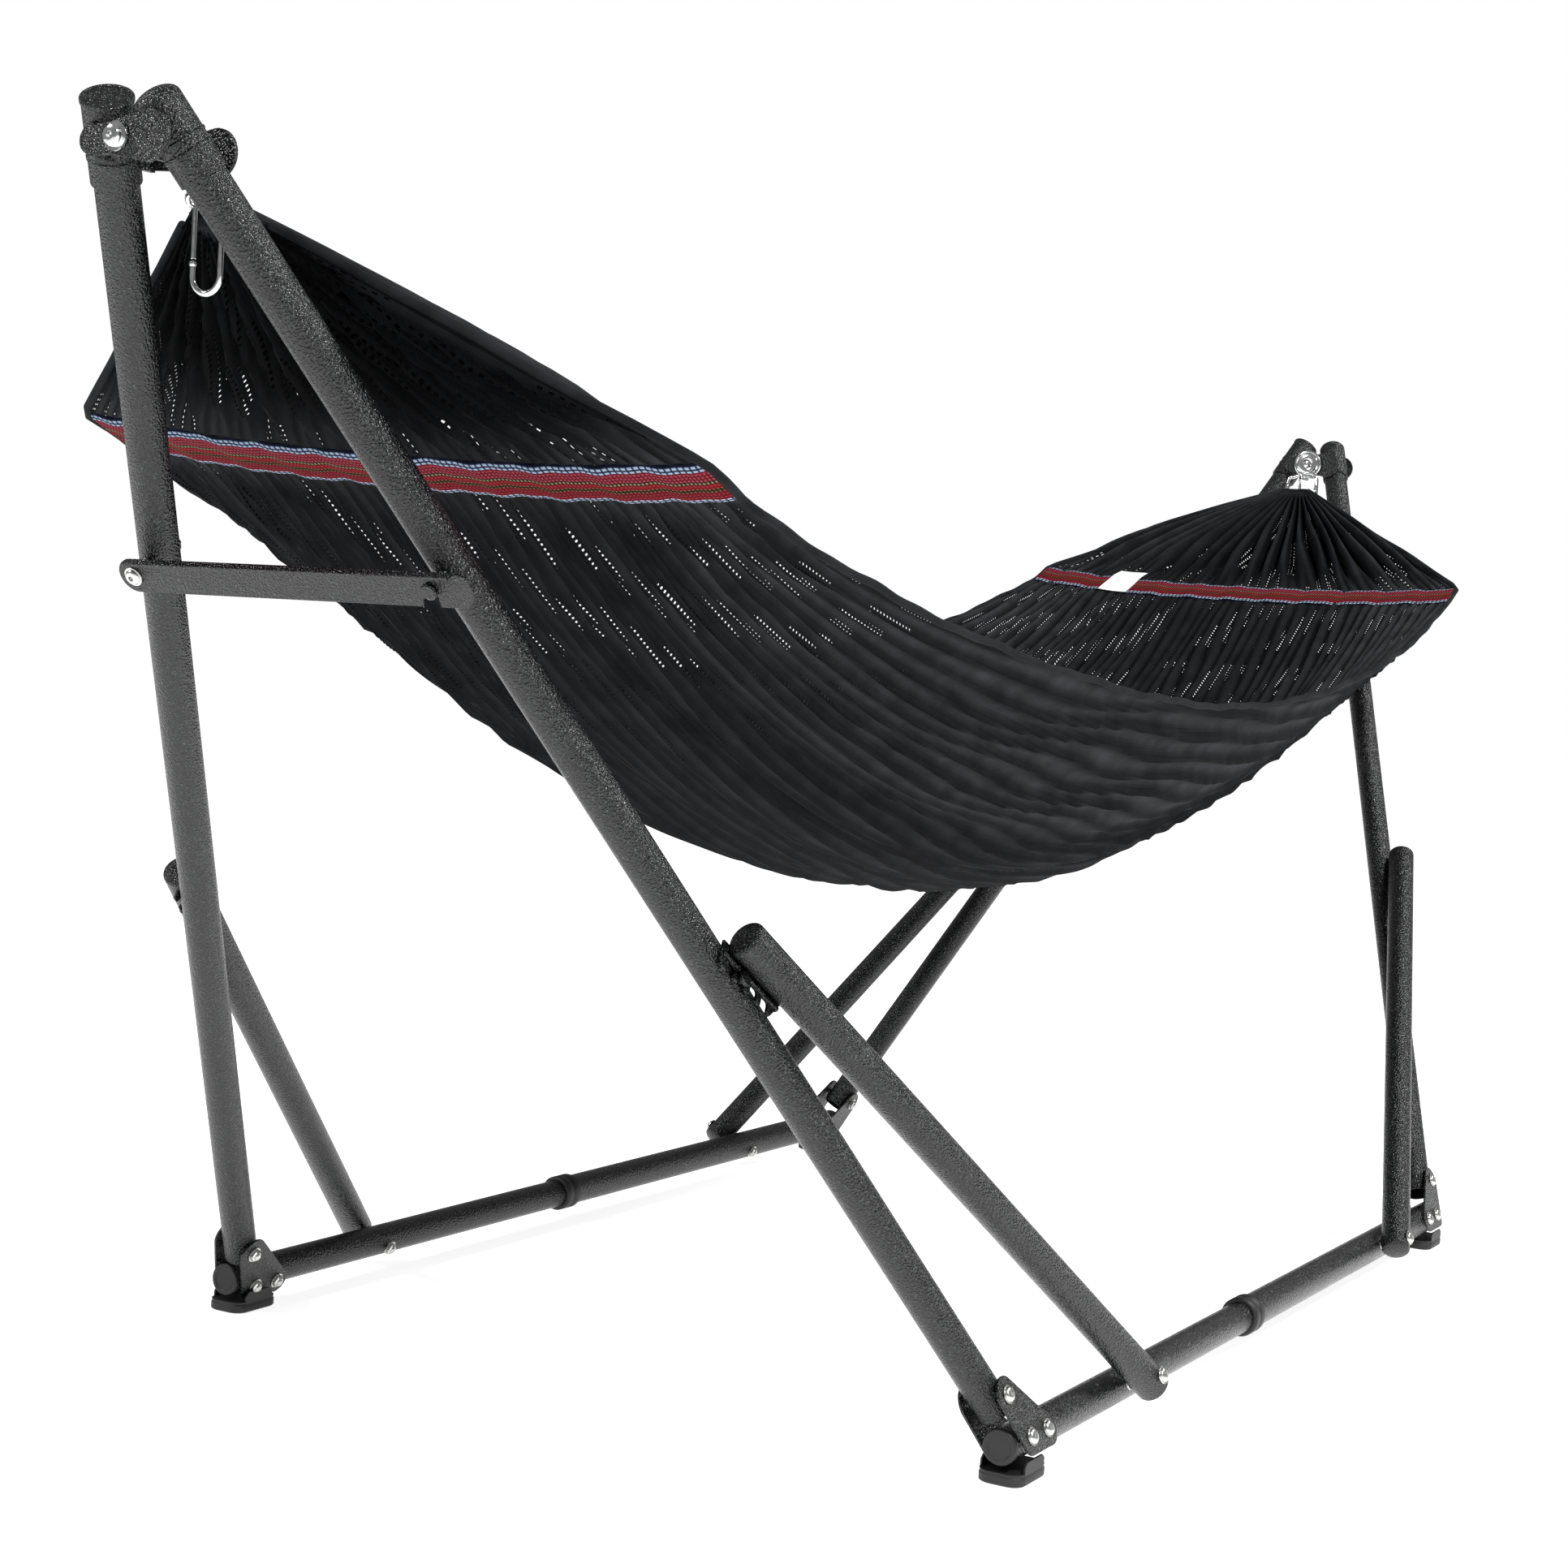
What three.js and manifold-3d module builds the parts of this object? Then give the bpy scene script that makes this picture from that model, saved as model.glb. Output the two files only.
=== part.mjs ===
// Free-standing hammock on a folding tube stand.
// Two leaning A-frames stand on two telescopic rails, a brace props each leg, and the cloth hangs
// between the two top hinges.
// Millimetres. +X runs along the hammock to the far end, +Y to the left side, +Z up.
// The origin is on the floor under the middle of the stand.
import * as THREE from "three";
import { mergeVertices } from "three/addons/utils/BufferGeometryUtils.js";
import Module from "manifold-3d";

const wasm = await Module();
wasm.setup();

// ---- driving dimensions ----
const gap = 0.3;               // running clearance between neighbouring pieces
const tubeRadius = 19;         // legs and braces
const tubeWall = 1.5;
const outerRailRadius = 20;    // far half of each rail
const outerRailWall = 1.2;
const innerRailRadius = outerRailRadius - outerRailWall - gap;   // near half, which slides inside
const innerRailWall = 1.5;
const railEndX = 735;          // half the length of the base
const railHalfSpacing = 500;   // each rail from the middle of the stand
const railHeight = 38;         // rail axis above the floor
const railJoinX = -50;         // where the inner tube enters the outer one
const railOverlap = 180;       // length of inner tube inside the outer one

const legPivotX = 735;         // foot pivot of each leg
const legPivotRise = 47.5;     // above the rail axis, in the leaning side plane
const legLength = 1448;        // foot pivot to tube end
const legAngle = THREE.MathUtils.degToRad(58.2);   // leg above the rail, in the side plane
const legTail = 16;            // tube below the foot pivot

const bracePivotX = 452;
const braceAngle = THREE.MathUtils.degToRad(43);
const braceLength = 781;       // pivot to the top of the domed end
const braceSpacer = 2.5;       // washer between rail and brace
const widerRadius = Math.max(outerRailRadius, tubeRadius);
const braceOffset = widerRadius + braceSpacer + tubeRadius;      // brace axis outside the rail axis
const studDistance = 742;      // brace pivot to the stud that it hooks over
const studRadius = 4.5;
const studHeadRadius = 8;
const studHead = 3.5;
const notchPitch = 22;
const catchThickness = 3;
const catchHold = 9;           // steel left past the middle of the stud
const catchFrom = tubeRadius + 0.8;
const studHeadFrom = catchFrom + catchThickness + 0.8;
const weldRadius = 3.2;

const sleeveWall = 2.2;
const sleeveLength = 74;
const sleeveRadius = tubeRadius + gap + sleeveWall;
const apexHalfGap = sleeveRadius + 3.5;   // each leg's end from the middle plane
const capThickness = 3;
const hingeDrop = 43.9;        // hinge bolt below the leg's end, along the leg
const hingeOffset = -6;        // hinge bolt from the middle plane
const hingeBoltRadius = 5;
const lugRadius = 14;          // left sleeve's lugs round the hinge bolt
const lugThickness = 4;
const lugFrom = sleeveRadius + 11.7;      // inner face from the hinge's middle, clear of the leaning tubes
const earThickness = 4;
const earRadius = 14.5;        // right sleeve's ears round the hinge bolt
const earRoot = 21;            // where the ears meet the right sleeve
const earFrom = lugFrom + lugThickness + gap;
const earFace = earFrom + earThickness;
const hingeDistance = legLength - hingeDrop;

const plateThickness = 3;      // cheek plates at the corners
const bracketFrom = widerRadius + gap;
const bracketFace = bracketFrom + plateThickness;
const boltRadius = 4;
const boltHeadRadius = 8;
const boltHead = 5;
const railBoltFromEnd = 25;    // first rail bolt from the rail's end
const railBoltPitch = 38;

const spreaderPlace = 0.685;   // share of the leg length above the foot pivot
const spreaderStandOff = 17;   // spacer between the legs and the bar
const spreaderThickness = 3;
const spreaderFrom = tubeRadius + spreaderStandOff;
const spreaderHeight = 34;
const spreaderFlange = 9;
const spreaderStudRadius = 5;

const discRadius = 24;         // chrome disc that carries the hook
const discThickness = 6;
const hookWire = 3.2;
const hookFrom = hookWire - 0.2;   // wire's middle from the disc's back face
const hookDrop = 28.6;         // hook's lowest run below the disc's centre
const hookReach = 37;          // that run's length, towards the hammock
const hookTip = 12;            // upturned end
const carabinerLength = 100;
const carabinerWidth = 36;
const carabinerWire = 2.75;
const carabinerPlace = 15.6;   // along the hook's run
const carabinerTurn = carabinerWidth / 2 - carabinerWire;
const carabinerFlank = carabinerLength / 2 - carabinerTurn - carabinerWire;
const carabinerRoom = carabinerTurn - hookWire - carabinerWire - gap;
const carabinerLean = 0.5 - carabinerRoom;     // loop's middle beside the hook, nearly as far as it goes
const gateGap = 1.2;
const gatePlay = 0.35;         // how much thinner the gate is than the loop
const clawWire = 2.6;
const clawSpread = 26;         // each claw from the hook

const footWidth = 60;
const footLength = 92;
const footTop = 27;
const footNose = 9;            // foot past the end of the rail
const footSole = 18.8;         // floor of the boot's hollow below the rail's axis
const footPlug = 5;            // disc that closes the rail

const clothThickness = 8;
const clothEndBack = 82.9;     // gathered ends of the cloth, inwards from the hinge bolts
const clothEndHalfWidth = 27;
const clothEndDrop = { near: 38, far: 52 };    // and below them
const bandInnerX = 1104;       // trim band across each end
const bandOuterX = 1166;
const bandHalfWidth = 360;
const bandHeight = 943;        // middle of the band's lower edge
const bandRise = 26;           // from its lower edge to its upper one
const bandSag = 16;            // middle of the band below its ends
const clothHalfWidth = 410;    // across the middle, as it hangs
const clothLow = 518;          // lowest point of the cloth
const clothRim = 772;          // lowest point of its long edges
const troughPower = 2.6;       // how flat the trough's bottom is

const round = 14;              // sides on a tube
const small = 8;               // sides on a bolt
const drillReach = 90;         // a drill runs this far each way

const steelBlack = { color: 0x2b2c2e, roughness: 0.5, metalness: 0.6 };
const chrome = { color: 0xc9cbcd, roughness: 0.18, metalness: 1 };
const zinc = { color: 0xa9abad, roughness: 0.35, metalness: 1 };
const plastic = { color: 0x141414, roughness: 0.6, metalness: 0 };
const cloth = { color: 0x101012, roughness: 0.95, metalness: 0 };

const apexRise = legPivotRise + legLength * Math.sin(legAngle);
const sideTilt = Math.asin((railHalfSpacing - apexHalfGap) / apexRise);

// ---- solids ----
function merged(geometry) {
  const bare = geometry.clone();
  bare.deleteAttribute("normal");
  bare.deleteAttribute("uv");
  return mergeVertices(bare, 1e-4);
}

function solid(geometry) {
  const bare = merged(geometry);
  const faces = Array.from(bare.index.array);
  const kept = [];
  for (let i = 0; i < faces.length; i += 3) {
    const [a, b, c] = faces.slice(i, i + 3);
    if (a !== b && b !== c && c !== a) kept.push(a, b, c);
  }
  return new wasm.Manifold(new wasm.Mesh({
    numProp: 3,
    vertProperties: new Float32Array(bare.attributes.position.array),
    triVerts: new Uint32Array(kept),
  }));
}

function geometryOf(manifold) {
  const mesh = manifold.getMesh();
  const geometry = new THREE.BufferGeometry();
  geometry.setAttribute("position", new THREE.BufferAttribute(mesh.vertProperties, 3));
  geometry.setIndex(new THREE.BufferAttribute(mesh.triVerts, 1));
  return geometry;
}

function cut(base, tools) {
  return tools.reduce((left, tool) => left.subtract(tool), base);
}

function join(pieces) {
  return pieces.reduce((whole, piece) => whole.add(piece));
}

// A cylinder between two points.
function rod(from, to, radius, sides = round) {
  const axis = new THREE.Vector3().subVectors(to, from);
  const geometry = new THREE.CylinderGeometry(radius, radius, axis.length(), sides);
  const turn = new THREE.Quaternion().setFromUnitVectors(new THREE.Vector3(0, 1, 0), axis.clone().normalize());
  geometry.applyQuaternion(turn);
  geometry.translate(...new THREE.Vector3().addVectors(from, to).multiplyScalar(0.5).toArray());
  return solid(geometry);
}

// A profile of [radius, distance] points turned about the line from one point along a direction.
function turned(profile, from, direction, sides = small) {
  const geometry = new THREE.LatheGeometry(profile.map(([r, h]) => new THREE.Vector2(r, h)), sides);
  const turn = new THREE.Quaternion().setFromUnitVectors(new THREE.Vector3(0, 1, 0), direction.clone().normalize());
  geometry.applyQuaternion(turn);
  geometry.translate(from.x, from.y, from.z);
  return solid(geometry);
}

function block(size, centre) {
  const geometry = new THREE.BoxGeometry(size.x, size.y, size.z);
  geometry.translate(centre.x, centre.y, centre.z);
  return solid(geometry);
}

// The outline that a taut band round some circles makes.
function bandOutline(circles, steps = 10) {
  const points = circles.flatMap(([x, y, radius]) => Array.from({ length: steps }, (_, i) => {
    const angle = (i / steps) * 2 * Math.PI;
    return [x + radius * Math.cos(angle), y + radius * Math.sin(angle)];
  })).sort((a, b) => a[0] - b[0] || a[1] - b[1]);
  const turnsRight = (a, b, c) => (b[0] - a[0]) * (c[1] - a[1]) - (b[1] - a[1]) * (c[0] - a[0]) <= 1e-9;
  const half = (list) => {
    const chain = [];
    for (const point of list) {
      while (chain.length > 1 && turnsRight(chain.at(-2), chain.at(-1), point)) chain.pop();
      chain.push(point);
    }
    return chain.slice(0, -1);
  };
  return [...half(points), ...half([...points].reverse())].map(([x, y]) => new THREE.Vector2(x, y));
}

// An outline drawn in the first two directions of a basis and thickened along the third.
function plate(outline, thickness, basis) {
  const geometry = new THREE.ExtrudeGeometry(new THREE.Shape(outline), { depth: thickness, bevelEnabled: false });
  const bare = merged(geometry);
  bare.applyMatrix4(basis);
  const order = bare.index.array;
  const leftHanded = basis.determinant() < 0;
  for (let i = 0; leftHanded && i < order.length; i += 3) {
    [order[i], order[i + 1]] = [order[i + 1], order[i]];
  }
  return solid(bare);
}

// ---- frames of reference ----
const vector = (x, y, z) => new THREE.Vector3(x, y, z);

// Side plane: x along the rail, out away from the middle of the stand, up in the leaning plane.
function sideBasis(side) {
  const along = vector(1, 0, 0);
  const out = vector(0, side * Math.cos(sideTilt), Math.sin(sideTilt));
  const up = vector(0, -side * Math.sin(sideTilt), Math.cos(sideTilt));
  return { along, out, up, origin: vector(0, side * railHalfSpacing, railHeight) };
}

function sidePoint(side, x, out, up) {
  const basis = sideBasis(side);
  return basis.origin.clone()
    .addScaledVector(basis.along, x)
    .addScaledVector(basis.out, out)
    .addScaledVector(basis.up, up);
}

// A matrix for plates that lie in the side plane, extruded outwards from a given offset.
function sidePlateMatrix(side, out) {
  const basis = sideBasis(side);
  const matrix = new THREE.Matrix4().makeBasis(basis.along, basis.up, basis.out);
  return matrix.setPosition(sidePoint(side, 0, out, 0));
}

function legPoint(end, side, distance, out = 0) {
  const x = end * (legPivotX + distance * Math.cos(legAngle));
  return sidePoint(side, x, out, legPivotRise + distance * Math.sin(legAngle));
}

function bracePoint(end, side, distance, out = braceOffset) {
  const x = end * (bracePivotX + distance * Math.cos(braceAngle));
  return sidePoint(side, x, out, distance * Math.sin(braceAngle));
}

// Plane of an A-frame: across the stand, up the slope, and out away from the hammock.
function endBasis(end) {
  const slope = new THREE.Vector3()
    .addVectors(legPoint(end, 1, legLength), legPoint(end, -1, legLength))
    .sub(legPoint(end, 1, 0)).sub(legPoint(end, -1, 0)).normalize();
  const out = vector(end * slope.z, 0, -end * slope.x);
  return { across: vector(0, 1, 0), slope, out };
}

// Plates in the A-frame plane are drawn as (across, slope) and extruded outwards.
function endPlateMatrix(end, origin) {
  const basis = endBasis(end);
  return new THREE.Matrix4().makeBasis(basis.across, basis.slope, basis.out).setPosition(origin);
}

// Gathered ends of the cloth, below the hinges and a little inwards.
const clothEndX = hingePoint(1).x - clothEndBack;
const clothEndHeight = {
  near: hingePoint(1).z - clothEndDrop.near,
  far: hingePoint(1).z - clothEndDrop.far,
};

// ---- pieces ----
const model = new THREE.Group();

function add(name, manifold, finish) {
  const mesh = new THREE.Mesh(geometryOf(manifold), new THREE.MeshStandardMaterial(finish));
  mesh.name = name;
  model.add(mesh);
}

const endName = (end) => (end < 0 ? "near" : "far");
const sideName = (side) => (side > 0 ? "left" : "right");

// A faceted hole has to clear a faceted bolt whichever way their corners stand.
const holeFor = (radius) => (radius + gap) / Math.cos(Math.PI / small);
const hole = holeFor(boltRadius);

function pinHole(end, side, x, up, radius = hole) {
  return rod(sidePoint(side, x, -drillReach, up), sidePoint(side, x, drillReach, up), radius, small);
}

function railBolts(end) {
  return [0, 1].map((i) => end * (railEndX - railBoltFromEnd - i * railBoltPitch));
}

function innerRail(side) {
  const start = -railEndX;
  const stop = railJoinX + railOverlap;
  const body = rod(sidePoint(side, start, 0, 0), sidePoint(side, stop, 0, 0), innerRailRadius);
  const bore = rod(sidePoint(side, start - 1, 0, 0), sidePoint(side, stop + 1, 0, 0), innerRailRadius - innerRailWall);
  const holes = [...railBolts(-1), -bracePivotX].map((x) => pinHole(-1, side, x, 0));
  return cut(body, [bore, ...holes]);
}

function outerRail(side) {
  const body = rod(sidePoint(side, railJoinX, 0, 0), sidePoint(side, railEndX, 0, 0), outerRailRadius);
  const bore = rod(
    sidePoint(side, railJoinX - 1, 0, 0),
    sidePoint(side, railEndX + 1, 0, 0),
    outerRailRadius - outerRailWall,
  );
  const holes = [...railBolts(1), bracePivotX].map((x) => pinHole(1, side, x, 0));
  return cut(body, [bore, ...holes]);
}

// Moulded ring on the mouth of the outer rail, with a lip that closes round the inner one.
function collar(side) {
  const lip = 9;
  const skirt = 22;
  const outside = outerRailRadius + 3.4;
  const profile = [
    [innerRailRadius + gap, -lip],
    [outside - 1.5, -lip],
    [outside, -lip + 2],
    [outside, skirt],
    [outerRailRadius + gap, skirt],
    [outerRailRadius + gap, -gap],
    [innerRailRadius + gap, -gap],
    [innerRailRadius + gap, -lip],
  ];
  return turned(profile, sidePoint(side, railJoinX, 0, 0), vector(1, 0, 0), round);
}

// Straight open tube drilled for its foot pivot, with the stud that the brace hooks over.
function leg(end, side) {
  const body = rod(legPoint(end, side, -legTail), legPoint(end, side, legLength), tubeRadius);
  const bore = rod(legPoint(end, side, -legTail - 1), legPoint(end, side, legLength + 1), tubeRadius - tubeWall);
  const pivot = rod(legPoint(end, side, 0, -drillReach), legPoint(end, side, 0, drillReach), hole, small);
  const place = studOnLeg();
  const stud = rod(
    legPoint(end, side, place, tubeRadius - tubeWall + 0.2),
    legPoint(end, side, place, studHeadFrom + studHead / 2),
    studRadius,
    small,
  );
  const head = rod(
    legPoint(end, side, place, studHeadFrom),
    legPoint(end, side, place, studHeadFrom + studHead),
    studHeadRadius,
    small,
  );
  const spreaderBolt = endPin(end, side, -drillReach, drillReach, hole);
  const whole = join([cut(body, [bore, pivot]), stud, head]);
  return side > 0 ? cut(whole, [spreaderBolt]) : join([whole, spreaderStud(end)]);
}

// Where the brace's line of studs meets the leg, measured up the leg from its pivot.
function studOnLeg() {
  const x = bracePivotX + studDistance * Math.cos(braceAngle);
  const up = studDistance * Math.sin(braceAngle);
  return (x - legPivotX) * Math.cos(legAngle) + (up - legPivotRise) * Math.sin(legAngle);
}

// The stud seen from the brace: along it, and across it towards the leg.
function studFromBrace() {
  const place = studOnLeg();
  const x = legPivotX + place * Math.cos(legAngle) - bracePivotX;
  const up = legPivotRise + place * Math.sin(legAngle);
  return {
    along: x * Math.cos(braceAngle) + up * Math.sin(braceAngle),
    across: x * Math.sin(braceAngle) - up * Math.cos(braceAngle),
  };
}

// Tube with domed ends, and the notched catch plate welded along its lower side.
function brace(end, side) {
  const dome = 7;
  const tail = 20;
  const outside = tubeRadius;
  const profile = [
    [0, -tail],
    [outside * 0.8, -tail + dome * 0.3],
    [outside, -tail + dome],
    [outside, braceLength - dome],
    [outside * 0.8, braceLength - dome * 0.3],
    [0, braceLength],
  ];
  const from = bracePoint(end, side, 0);
  const direction = bracePoint(end, side, 1).sub(from);
  const body = turned(profile, from, direction, round);
  const bore = rod(
    bracePoint(end, side, -tail + dome + 2),
    bracePoint(end, side, braceLength - dome - 2),
    tubeRadius - tubeWall,
  );
  const pivot = rod(bracePoint(end, side, 0, 0), bracePoint(end, side, 0, drillReach), hole, small);
  return cut(join([cut(body, [bore]), catchPlate(end, side)]), [pivot]);
}

function catchPlate(end, side) {
  const stud = studFromBrace();
  const basis = sideBasis(side);
  const along = bracePoint(end, side, 1).sub(bracePoint(end, side, 0));
  const across = vector(0, 0, 0)
    .addScaledVector(basis.along, end * Math.sin(braceAngle))
    .addScaledVector(basis.up, -Math.cos(braceAngle));
  const matrix = new THREE.Matrix4().makeBasis(along, across, basis.out);
  matrix.setPosition(bracePoint(end, side, 0, catchFrom));
  const low = stud.along - 3 * notchPitch;
  const high = stud.along + notchPitch * 0.75;
  const edge = stud.across + catchHold;
  const outline = [
    [low - 14, 0], [low, edge], [high, edge], [high + 8, edge - 8], [high + 8, 0],
  ].map(([x, y]) => new THREE.Vector2(x, y));
  const thickness = catchThickness;
  const body = plate(outline, thickness, matrix);
  const weld = rod(
    bracePoint(end, side, low - 10, catchFrom + thickness),
    bracePoint(end, side, high + 6, catchFrom + thickness),
    weldRadius,
    small,
  );
  const seat = holeFor(studRadius);
  const notches = [-2, -1, 0].map((i) => {
    const middle = stud.along + i * notchPitch;
    return bandOutline([[middle, stud.across, seat], [middle, edge + 2 * seat, seat]], small);
  });
  return cut(join([body, weld]), notches.map((shape) => {
    const tool = matrix.clone().setPosition(bracePoint(end, side, 0, catchFrom - 5));
    return plate(shape, thickness + 10, tool);
  }));
}

// Bolt across a tube or a stack: domed head, shank and nut, all one turned piece.
function bolt(from, to, radius = boltRadius, head = boltHeadRadius) {
  const direction = new THREE.Vector3().subVectors(to, from);
  const grip = direction.length();
  const profile = [
    [0, -boltHead],
    [head * 0.7, -boltHead],
    [head, -boltHead * 0.45],
    [head, -gap],
    [radius, -gap],
    [radius, grip + gap],
    [head * 0.85, grip + gap],
    [head * 0.85, grip + boltHead],
    [0, grip + boltHead],
  ];
  return turned(profile, from, direction);
}

function bracketOutline(end) {
  const [first, second] = railBolts(end);
  return bandOutline([[end * legPivotX, legPivotRise, 19], [first + end * 4, -3, 15], [second - end * 4, -3, 15]]);
}

function bracketPlate(end, side, outwards) {
  const matrix = sidePlateMatrix(side, outwards ? bracketFrom : -bracketFace);
  const body = plate(bracketOutline(end), plateThickness, matrix);
  const holes = railBolts(end).map((x) => pinHole(end, side, x, 0));
  return cut(body, [...holes, rod(legPoint(end, side, 0, -drillReach), legPoint(end, side, 0, drillReach), hole, small)]);
}

function cornerBolt(end, side, x, up) {
  return bolt(sidePoint(side, x, bracketFace, up), sidePoint(side, x, -bracketFace, up));
}

function braceBolt(end, side) {
  const outer = braceOffset + tubeRadius;
  const grip = outer + outerRailRadius;
  const spacerFrom = tubeRadius * 2 + gap;
  const profile = [
    [0, -boltHead],
    [boltHeadRadius * 0.7, -boltHead],
    [boltHeadRadius, -boltHead * 0.45],
    [boltHeadRadius, -gap],
    [boltRadius, -gap],
    [boltRadius, spacerFrom],
    [boltHeadRadius, spacerFrom],
    [boltHeadRadius, spacerFrom + braceSpacer - 2 * gap],
    [boltRadius, spacerFrom + braceSpacer - 2 * gap],
    [boltRadius, grip + gap],
    [boltHeadRadius * 0.85, grip + gap],
    [boltHeadRadius * 0.85, grip + boltHead],
    [0, grip + boltHead],
  ];
  const from = sidePoint(side, end * bracePivotX, outer, 0);
  const direction = sideBasis(side).out.clone().negate();
  return turned(profile, from, direction);
}

// Moulded boot under the rail's end, flat on the floor, with a disc that closes the rail.
function foot(end, side) {
  const out = end * (railEndX + footNose);
  const centre = vector(out - end * footLength / 2, side * railHalfSpacing, footTop / 2);
  const boot = block(vector(footLength, footWidth, footTop), centre);
  const radius = end < 0 ? innerRailRadius : outerRailRadius;
  const discFrom = sidePoint(side, end * (railEndX + gap), 0, 0);
  const discTo = sidePoint(side, end * (railEndX + footPlug), 0, 0);
  const basis = sideBasis(side);
  const matrix = new THREE.Matrix4().makeBasis(basis.out, basis.up, basis.along);
  matrix.setPosition(sidePoint(side, end < 0 ? -railEndX - gap : railEndX + gap - footLength * 1.5, 0, 0));
  const flat = [[-1, -1], [1, -1], [1, 1], [-1, 1]].map(([a, b]) => new THREE.Vector2(
    a * (bracketFace + 2 * gap),
    b > 0 ? drillReach : -footSole,
  ));
  const tunnel = plate(flat, footLength * 1.5, matrix);
  const railRoom = rod(
    sidePoint(side, end * (railEndX + gap), 0, 0),
    sidePoint(side, end * (railEndX - footLength * 1.5), 0, 0),
    radius + gap,
  );
  const headRooms = railBolts(end).map((x) => pinHole(end, side, x, 0, holeFor(boltHeadRadius)));
  return join([cut(boot, [tunnel, railRoom, ...headRooms]), rod(discFrom, discTo, radius)]);
}

function hingePoint(end) {
  const onLeg = legPoint(end, 1, hingeDistance);
  return vector(onLeg.x, hingeOffset, onLeg.z);
}

function hingeHole(end) {
  const reach = vector(drillReach, 0, 0);
  const hinge = hingePoint(end);
  return rod(hinge.clone().sub(reach), hinge.clone().add(reach), holeFor(hingeBoltRadius), small);
}

// Room for the leg inside its sleeve.
function sleeveRoom(end, side) {
  return rod(legPoint(end, side, 0), legPoint(end, side, legLength + gap), tubeRadius + gap);
}

// Two plates that stand square to the hinge bolt, one before and one behind the tubes.
function hingePlates(end, outline, from, thickness) {
  const x = hingePoint(end).x;
  return [from, -from - thickness].map((start) => {
    const matrix = new THREE.Matrix4().makeBasis(vector(0, 1, 0), vector(0, 0, 1), vector(1, 0, 0));
    return plate(outline, thickness, matrix.setPosition(vector(x + start, 0, 0)));
  });
}

// Sleeve on the left leg's end, with a flat cap, a rolled rib and two lugs for the hinge bolt.
function leftSleeve(end) {
  const rim = 1;
  const rib = { low: 28, high: 19, height: 0.9 };
  const top = legPoint(end, 1, legLength + gap + capThickness);
  const body = join([
    rod(legPoint(end, 1, legLength + gap - sleeveLength), top, sleeveRadius),
    rod(legPoint(end, 1, legLength + gap - rim), top, sleeveRadius + rim),
    rod(legPoint(end, 1, legLength - rib.low), legPoint(end, 1, legLength - rib.high), sleeveRadius + rib.height),
  ]);
  const hinge = hingePoint(end);
  const root = legPoint(end, 1, hingeDistance);
  const outline = bandOutline([[hinge.y, hinge.z, lugRadius], [root.y, root.z, lugRadius]]);
  const lugs = hingePlates(end, outline, lugFrom, lugThickness);
  const webThickness = 5;
  const web = block(
    vector(2 * (lugFrom + lugThickness), webThickness, 2 * lugRadius),
    vector(hinge.x, root.y - sleeveRadius / 2, root.z),
  );
  return cut(join([body, ...lugs, web]), [sleeveRoom(end, 1), hingeHole(end)]);
}

// Sleeve on the right leg's end with a domed cap and two ears outside the left sleeve's lugs.
function rightSleeve(end) {
  const from = legPoint(end, -1, legLength + gap - sleeveLength);
  const direction = legPoint(end, -1, 1).sub(legPoint(end, -1, 0));
  const height = sleeveLength + capThickness;
  const profile = [
    [0, 0],
    [sleeveRadius, 0],
    [sleeveRadius, height - 7],
    [sleeveRadius * 0.9, height - 2],
    [sleeveRadius * 0.55, height + 1.5],
    [0, height + 3],
  ];
  const body = turned(profile, from, direction, round);
  const hinge = hingePoint(end);
  const root = legPoint(end, -1, hingeDistance);
  const outline = bandOutline([[hinge.y, hinge.z, earRadius], [root.y, root.z, earRoot]]);
  const ears = hingePlates(end, outline, earFrom, earThickness);
  const webThickness = 5;
  const web = block(
    vector(2 * earFace, webThickness, 2 * earRadius),
    vector(hinge.x, hinge.y - lugRadius - 1 - webThickness / 2, root.z),
  );
  return cut(join([body, ...ears, web]), [sleeveRoom(end, -1), hingeHole(end)]);
}

// Middle of the chrome disc's outer face, against the inner ear.
function discCentre(end) {
  return hingePoint(end).add(vector(-end * (earFace + gap), 0, 0));
}

// Hinge bolt with its domed head and washer, the disc on its inner end and the hook below the disc.
function hook(end) {
  const washer = 12;
  const boltProfile = [
    [0, -earFace - 9],
    [6, -earFace - 9],
    [9, -earFace - 6],
    [9, -earFace - 2.5],
    [washer, -earFace - 2.5],
    [washer, -earFace - gap],
    [hingeBoltRadius, -earFace - gap],
    [hingeBoltRadius, earFace + discThickness / 2],
    [0, earFace + discThickness / 2],
  ];
  const discProfile = [
    [0, 0],
    [discRadius - 4, 0],
    [discRadius, 1.5],
    [discRadius, discThickness - 1.5],
    [discRadius - 2, discThickness],
    [discRadius - 5, discThickness],
    [discRadius - 5, discThickness - 1],
    [0, discThickness - 1],
  ];
  const inwards = vector(-end, 0, 0);
  return join([
    turned(boltProfile, hingePoint(end), inwards, small),
    turned(discProfile, discCentre(end), inwards, round),
    wire(hookPath(end), hookWire, 12),
  ]);
}

// From inside the disc down, round to a level run towards the hammock, and up to the tip.
function hookPath(end) {
  const start = discCentre(end).add(vector(-end * hookFrom, 0, 0));
  const bend = 8;
  const at = (inwards, down) => start.clone().add(vector(-end * inwards, 0, -down));
  return [
    at(0, discRadius - 10),
    at(0, hookDrop - bend),
    at(bend * 0.3, hookDrop - bend * 0.3),
    at(bend, hookDrop),
    at(hookReach - bend, hookDrop),
    at(hookReach - bend * 0.3, hookDrop - bend * 0.3),
    at(hookReach, hookDrop - bend),
    at(hookReach, hookDrop - hookTip),
  ];
}

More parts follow.
